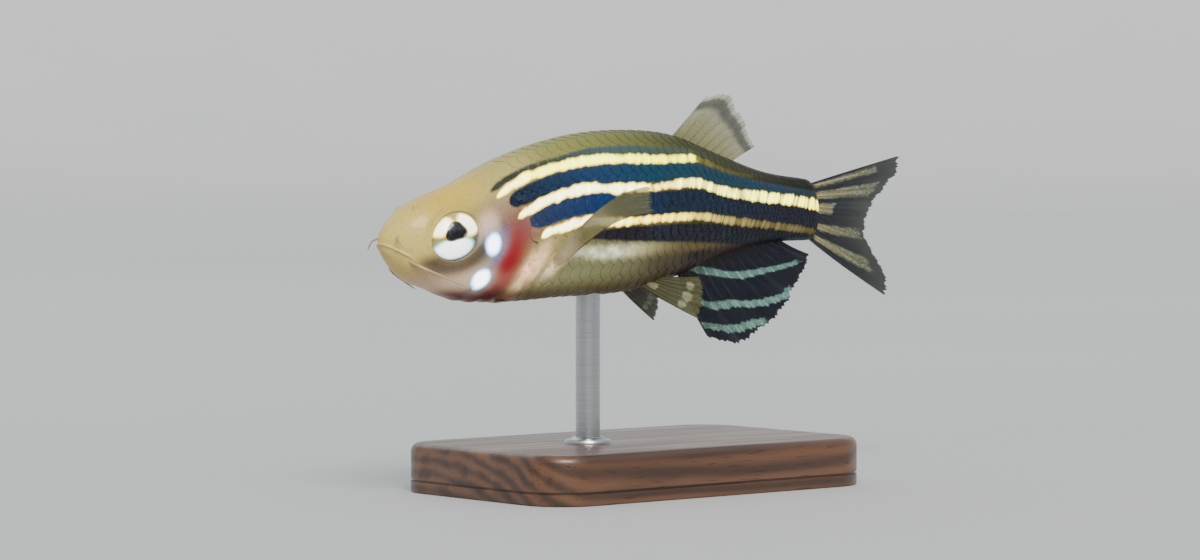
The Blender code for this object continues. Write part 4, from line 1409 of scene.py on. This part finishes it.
def iris_colour(u, v):
    """Colour of the iris at a place on its face, u towards the tail and v up, and how it shines."""
    across, up = (u - PUPIL_CENTRE[0]) / PUPIL_RADII[0], (v - PUPIL_CENTRE[1]) / PUPIL_RADII[1]
    corner = 1 + 0.13 * np.cos(3 * (np.arctan2(up, across) - math.radians(96)))
    near = np.hypot(across, up) / corner
    out = np.hypot(u / IRIS_RADII[0], v / IRIS_RADII[2])
    colour = tones(np.clip(out, 0, 1), (110, 100, 60), (140, 132, 76), (168, 158, 96), (150, 138, 88))
    # painted shade over the rear, lower part of the iris; the next line makes it darker towards the bottom
    colour = lay(colour, srgb(78, 76, 66), ramp(u, 0.5, 1.2) * ramp(v, 0.3, -0.2) * 0.85)
    colour = lay(colour, srgb(84, 72, 60), ramp(v, -0.3, -1.1) * 0.8)
    shine = 0 * u
    open_iris = ramp(near, 1.0, 1.15) * ramp(out, 0.985, 0.86)
    for centre, radii, inner, rim in MIRRORS:
        off = np.hypot((u - centre[0]) / radii[0], (v - centre[1]) / radii[1])
        share = ramp(off, 1.16, 0.84) * open_iris
        edge = np.maximum(ramp(off, 0.52, 1.0), ramp(out, 0.78, 0.97))
        colour = lay(colour, tones(edge, inner, inner, rim), share)
        shine = np.maximum(shine, share)
    orange = bump(near - 1.1, 0.12) * bump(np.hypot(across + 1.0, up - 0.1), 0.5)
    colour = lay(colour, srgb(200, 128, 44), orange * 0.85)
    pupil = ramp(near, 1.03, 0.95)
    return lay(colour, srgb(4, 6, 9), pupil), shine, pupil


def make_iris(side, sign):
    bm = bmesh.new()
    bmesh.ops.create_uvsphere(bm, u_segments=112, v_segments=84, radius=1)
    bmesh.ops.rotate(bm, matrix=Matrix.Rotation(math.pi / 2, 3, "X"), verts=bm.verts)
    bmesh.ops.scale(bm, vec=Vector(IRIS_RADII), verts=bm.verts)
    form = points_of(bm)
    colour, shine, pupil = iris_colour(form[:, 0], form[:, 2])
    facing = form[:, 1] * sign > 0
    form[:, 1] -= sign * np.where(facing, 0.14 * pupil, 0)
    move_points(bm, eye_place(form, sign))
    made = new_object("iris_" + side, bm)
    keep_values(made.data, "ground", colour)
    keep_values(made.data, "shine", np.where(facing, shine, 0))
    pose_piece(made)
    return made


def iris_paint():
    paint = Paint("iris")
    tree = paint.tree
    shine = paint.kept("shine")
    place = paint.kept("fish", "Vector")
    grains, flecks, clouds = grains_in(paint, place, 9.0)
    dull = dusted(paint.kept("ground", "Color"), grains, 0.4, srgb(40, 42, 34))
    face = mixed(shine, dull, paint.kept("ground", "Color"))
    paint.join(Base_Color=face)
    # painted glow on the mirror fields, weaker on the right side, which is turned away from the lamp
    sideward = place_node(tree, "SeparateXYZ", Vector=place).outputs["Y"]
    glow = times(shine, slope(sideward, -0.5, 0.5, 1.0, SHADE_GLOW))
    paint.join(Emission_Color=mixed(glow, (0, 0, 0), face))
    paint.constants(Emission_Strength=IRIS_GLOW)
    paint.rough(clouds, 0.22, 0.36)
    paint.bumpy(flecks, 0.2, 0.01)
    return paint.material


# %% The clear dome over it
CORNEA_RADII = (1.61, 0.95, 1.50)
CORNEA_WALL = 0.05


def make_cornea(side, sign):
    bm = bmesh.new()
    bmesh.ops.create_uvsphere(bm, u_segments=72, v_segments=48, radius=1)
    bmesh.ops.rotate(bm, matrix=Matrix.Rotation(math.pi / 2, 3, "X"), verts=bm.verts)
    bmesh.ops.bisect_plane(
        bm,
        geom=[*bm.verts, *bm.edges, *bm.faces],
        dist=0.0001,
        plane_co=Vector((0, sign * 0.3, 0)),
        plane_no=Vector((0, -sign, 0)),
        clear_outer=True,
    )
    bmesh.ops.scale(bm, vec=Vector(CORNEA_RADII), verts=bm.verts)
    bmesh.ops.solidify(bm, geom=bm.faces[:], thickness=CORNEA_WALL)
    form = points_of(bm)
    move_points(bm, eye_place(form, sign))
    bmesh.ops.recalc_face_normals(bm, faces=bm.faces)
    made = new_object("cornea_" + side, bm)
    return pose_piece(made)


def cornea_paint():
    """Clear and wet; shadow rays pass straight through, so the iris under it stays lit."""
    paint = Paint("cornea")
    tree = paint.tree
    paint.constants(Transmission_Weight=1.0, IOR=1.34, Roughness=0.0)
    haze = paint.node("TexNoise", Vector=paint.kept("fish", "Vector"), Scale=0.8).outputs["Fac"]
    paint.rough(haze, 0.0, 0.05)
    clear = paint.node("BsdfTransparent")
    path = paint.node("LightPath").outputs["Is Shadow Ray"]
    both = paint.node("MixShader", i0=path)
    tree.links.new(paint.surface.outputs["BSDF"], both.inputs[1])
    tree.links.new(clear.outputs["BSDF"], both.inputs[2])
    tree.links.new(both.outputs[0], tree.nodes["Material Output"].inputs["Surface"])
    return paint.material


iris_finish, cornea_finish = iris_paint(), cornea_paint()
for side, sign in SIDES.items():
    iris, cornea = make_iris(side, sign), make_cornea(side, sign)
    iris.data.materials.append(iris_finish)
    cornea.data.materials.append(cornea_finish)
    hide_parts("eye_" + side)
print("eye across:", 2 * IRIS_RADII[0], "mm")

# %% [markdown]
# Four feelers hang from the snout: a long pair at the corners of the mouth and a short pair in
# front of the nostrils. Each is a cone whose rings are carried along a smooth path.

# %% The feelers
BARBEL_RINGS = 18
BARBEL_TIP = 0.035
LONG_PATH = ((1.1, 0.9, -0.85), (1.9, 2.0, -1.7), (3.9, 2.75, -3.1))
SHORT_PATH = ((0.8, 0.7, 0.6), (0.35, 1.5, 0.5), (0.3, 2.1, 0.0))


def make_barbel(name, path, sign, thick):
    bm = bmesh.new()
    bmesh.ops.create_cone(bm, cap_ends=True, segments=14, radius1=1, radius2=1, depth=1)
    uprights = [e for e in bm.edges if abs(e.verts[0].co.z - e.verts[1].co.z) > 0.5]
    bmesh.ops.subdivide_edges(bm, edges=uprights, cuts=BARBEL_RINGS)
    knots = np.linspace(0, 1, len(path))
    lines = [curve_through(knots, column) for column in zip(*path)]
    for vertex in bm.verts:
        share = vertex.co.z + 0.5
        here = Vector([float(line(share)) for line in lines])
        ahead = Vector([float(line(min(share + 0.02, 1))) for line in lines])
        behind = Vector([float(line(max(share - 0.02, 0))) for line in lines])
        frame_turn = (ahead - behind).to_track_quat("Z", "Y")
        radius = mix(thick, BARBEL_TIP, share**0.8) * (1 - 0.6 * max(0, share - 0.93) / 0.07)
        off = frame_turn @ Vector((vertex.co.x * radius, vertex.co.y * radius, 0))
        vertex.co = here + off
        vertex.co.y *= sign
    bmesh.ops.recalc_face_normals(bm, faces=bm.faces)
    made = new_object(name, bm)
    pose_piece(made)
    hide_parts(name)
    return made


feeler = Paint("feeler")
grains, flecks, clouds = grains_in(feeler, feeler.kept("fish", "Vector"), 9.0)
pale = mixed(clouds, srgb(196, 172, 128), srgb(150, 128, 92))
feeler.join(Base_Color=dusted(pale, grains, 0.5, srgb(70, 58, 44)))
feeler.rough(clouds, 0.3, 0.5)
feeler.constants(Coat_Weight=0.4, Coat_Roughness=0.1)
for side, sign in SIDES.items():
    for name, path, thick in (("maxillary", LONG_PATH, 0.12), ("rostral", SHORT_PATH, 0.09)):
        made = make_barbel(f"{name}_barbel_{side}", path, sign, thick)
        made.data.materials.append(feeler.material)

# %% [markdown]
# The stand is a small walnut block with a turned steel rod. A bevel on every edge that shows keeps
# it from looking like a plain box, a groove runs round its side, and a steel ring closes the hole
# that the rod stands in. The rod's top ends inside the belly.

# %% The base
BASE_SIZE = Vector((26.0, 16.0, 3.0))
BASE_CORNER = 3.0
BASE_EDGE = 0.5
GROOVE_HEIGHTS = (0.70, 0.85)
GROOVE_DEPTH = 0.12
ROD_RADIUS = 0.75
rod_low, rod_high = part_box("stand_rod")
rod_place = (rod_low + rod_high) / 2 / MM


def bevel(bm, edges, width, segments):
    bmesh.ops.bevel(
        bm,
        geom=edges,
        offset=width,
        offset_type="OFFSET",
        segments=segments,
        profile=0.5,
        affect="EDGES",
        material=-1,
    )


bm = bmesh.new()
bmesh.ops.create_cube(bm, size=1)
bmesh.ops.scale(bm, vec=BASE_SIZE, verts=bm.verts)
bmesh.ops.translate(bm, vec=Vector((0, 0, BASE_SIZE.z / 2)), verts=bm.verts)
upright = [e for e in bm.edges if abs(e.verts[0].co.z - e.verts[1].co.z) > 1]
bevel(bm, upright, BASE_CORNER, 14)
for height in GROOVE_HEIGHTS:
    everything = [*bm.verts, *bm.edges, *bm.faces]
    bmesh.ops.bisect_plane(bm, geom=everything, plane_co=Vector((0, 0, height)), plane_no=Vector((0, 0, 1)))
low_groove, high_groove = GROOVE_HEIGHTS
ring = [f for f in bm.faces if low_groove < f.calc_center_median().z < high_groove]
bmesh.ops.inset_region(bm, faces=ring, thickness=0.02, depth=-GROOVE_DEPTH, use_even_offset=True)
for level, width, segments in ((BASE_SIZE.z, BASE_EDGE, 6), (0.0, 0.15, 2)):
    rim = [e for e in bm.edges if all(abs(v.co.z - level) < 0.01 for v in e.verts)]
    bevel(bm, rim, width, segments)
bmesh.ops.scale(bm, vec=Vector((MM, MM, MM)), verts=bm.verts)
base = new_object("stand_block", bm)
base.data.set_sharp_from_angle(angle=math.radians(35))
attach(base, "root")
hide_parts("stand_base")

# %% The rod and its ring
RING_PROFILE = ((0.78, 0.0), (1.45, 0.0), (1.45, 0.12), (1.36, 0.24), (1.05, 0.3), (0.95, 0.42), (0.78, 0.42))
ROD_FOOT = 2.0
ROD_SUNK = 0.5
rod_top = rod_high.z / MM + ROD_SUNK


def turned(name, profile, centre, steps, closed):
    """A turned piece from a profile of (radius, height) points, spun about the upright through centre."""
    bm = bmesh.new()
    line = [bm.verts.new((r, 0, h)) for r, h in profile]
    pairs = list(zip(line, line[1:] + line[:1])) if closed else list(zip(line, line[1:]))
    edges = [bm.edges.new(pair) for pair in pairs]
    bmesh.ops.spin(
        bm, geom=line + edges, cent=(0, 0, 0), axis=(0, 0, 1), angle=math.tau, steps=steps, use_merge=True
    )
    bmesh.ops.remove_doubles(bm, verts=bm.verts, dist=0.0001)
    bmesh.ops.recalc_face_normals(bm, faces=bm.faces)
    bmesh.ops.translate(bm, vec=centre, verts=bm.verts)
    bmesh.ops.scale(bm, vec=Vector((MM, MM, MM)), verts=bm.verts)
    made = new_object(name, bm)
    made.data.set_sharp_from_angle(angle=math.radians(40))
    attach(made, "root")
    return made


foot = Vector((rod_place.x, rod_place.y, 0))
rod_profile = (
    (0, ROD_FOOT), (ROD_RADIUS, ROD_FOOT),
    (ROD_RADIUS, rod_top - 0.1), (ROD_RADIUS - 0.1, rod_top), (0, rod_top)
)
rod = turned("steel_rod", rod_profile, foot, 64, False)
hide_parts("stand_rod")
ring = turned("steel_ring", RING_PROFILE, foot + Vector((0, 0, BASE_SIZE.z)), 72, True)
print("rod from", ROD_FOOT, "to", round(rod_top, 1), "mm")

# %% [markdown]
# A tree's growth rings are tubes round its heart. A block sawn beside the heart shows them as long
# flames on its faces and as arcs on its ends, so one solid pattern of rings gives both. Fine dark
# pores run the same way, under a soft oil finish. Brushed steel is bright, with fine rings round the
# rod that catch the light.

# %% Walnut
GROWTH = 0.9  # distance between two growth rings, in millimetres
HEART = Vector((0, 4, -14))  # a point of the tree's heart, in millimetres; it runs along the block
WAVE_LENGTH = math.tau / 20  # distance between the rings of Blender's wave texture at a scale of 1
walnut = Paint("walnut")
place = walnut.object_place()
from_heart = walnut.node(
    "Mapping", {"vector_type": "TEXTURE"}, Vector=place, Location=HEART * MM, Scale=(8 * MM, MM, MM)
).outputs["Vector"]
growth = walnut.node(
    "TexWave",
    {"wave_type": "RINGS", "rings_direction": "X"},
    Vector=from_heart,
    Scale=WAVE_LENGTH / GROWTH,
    Distortion=4.0,
    Detail=2.0,
).outputs["Fac"]
stretched = walnut.node("Mapping", Vector=place, Scale=(60, 700, 700)).outputs["Vector"]
warp = walnut.noise(place, 160.0, 3.0)
streaks = walnut.node("TexNoise", Vector=stretched, Scale=1.0, Detail=6.0, Distortion=0.4).outputs["Fac"]
fine = walnut.node("Mapping", Vector=place, Scale=(500, 7000, 7000)).outputs["Vector"]
pores = walnut.noise(fine, 1.0, 2.0)
figure = times_plus(growth, 0.3, times(streaks, 0.7))
wood = mixed(slope(figure, 0.24, 0.74), srgb(60, 40, 28), srgb(112, 76, 52))
wood = dusted(wood, warp, 0.35, srgb(58, 36, 24))
dark_pores = slope(pores, 0.58, 0.72, 0.0, 0.65)
walnut.join(Base_Color=mixed(dark_pores, wood, srgb(30, 18, 12)))
walnut.rough(streaks, 0.42, 0.30)
height = maths("SUBTRACT", times(streaks, 0.3), dark_pores)
walnut.bumpy(height, 0.3, 0.05)
walnut.constants(Coat_Weight=0.25, Coat_Roughness=0.25)
base.data.materials.append(walnut.material)

# %% Brushed steel
steel = Paint("brushed_steel")
place = steel.object_place()
rings = steel.node("Mapping", Vector=place, Scale=(300, 300, 22000)).outputs["Vector"]
lines = steel.noise(rings, 1.0, 3.0)
smudge = steel.noise(place, 400.0, 3.0)
steel.join(Base_Color=mixed(lines, srgb(160, 163, 166), srgb(206, 208, 210)))
rough = times_plus(lines, 0.14, slope(smudge, 0.3, 0.7, 0.16, 0.26))
steel.join(Roughness=rough)
steel.bumpy(lines, 0.15, 0.01)
steel.constants(Metallic=1.0)
for piece in (rod, ring):
    piece.data.materials.append(steel.material)
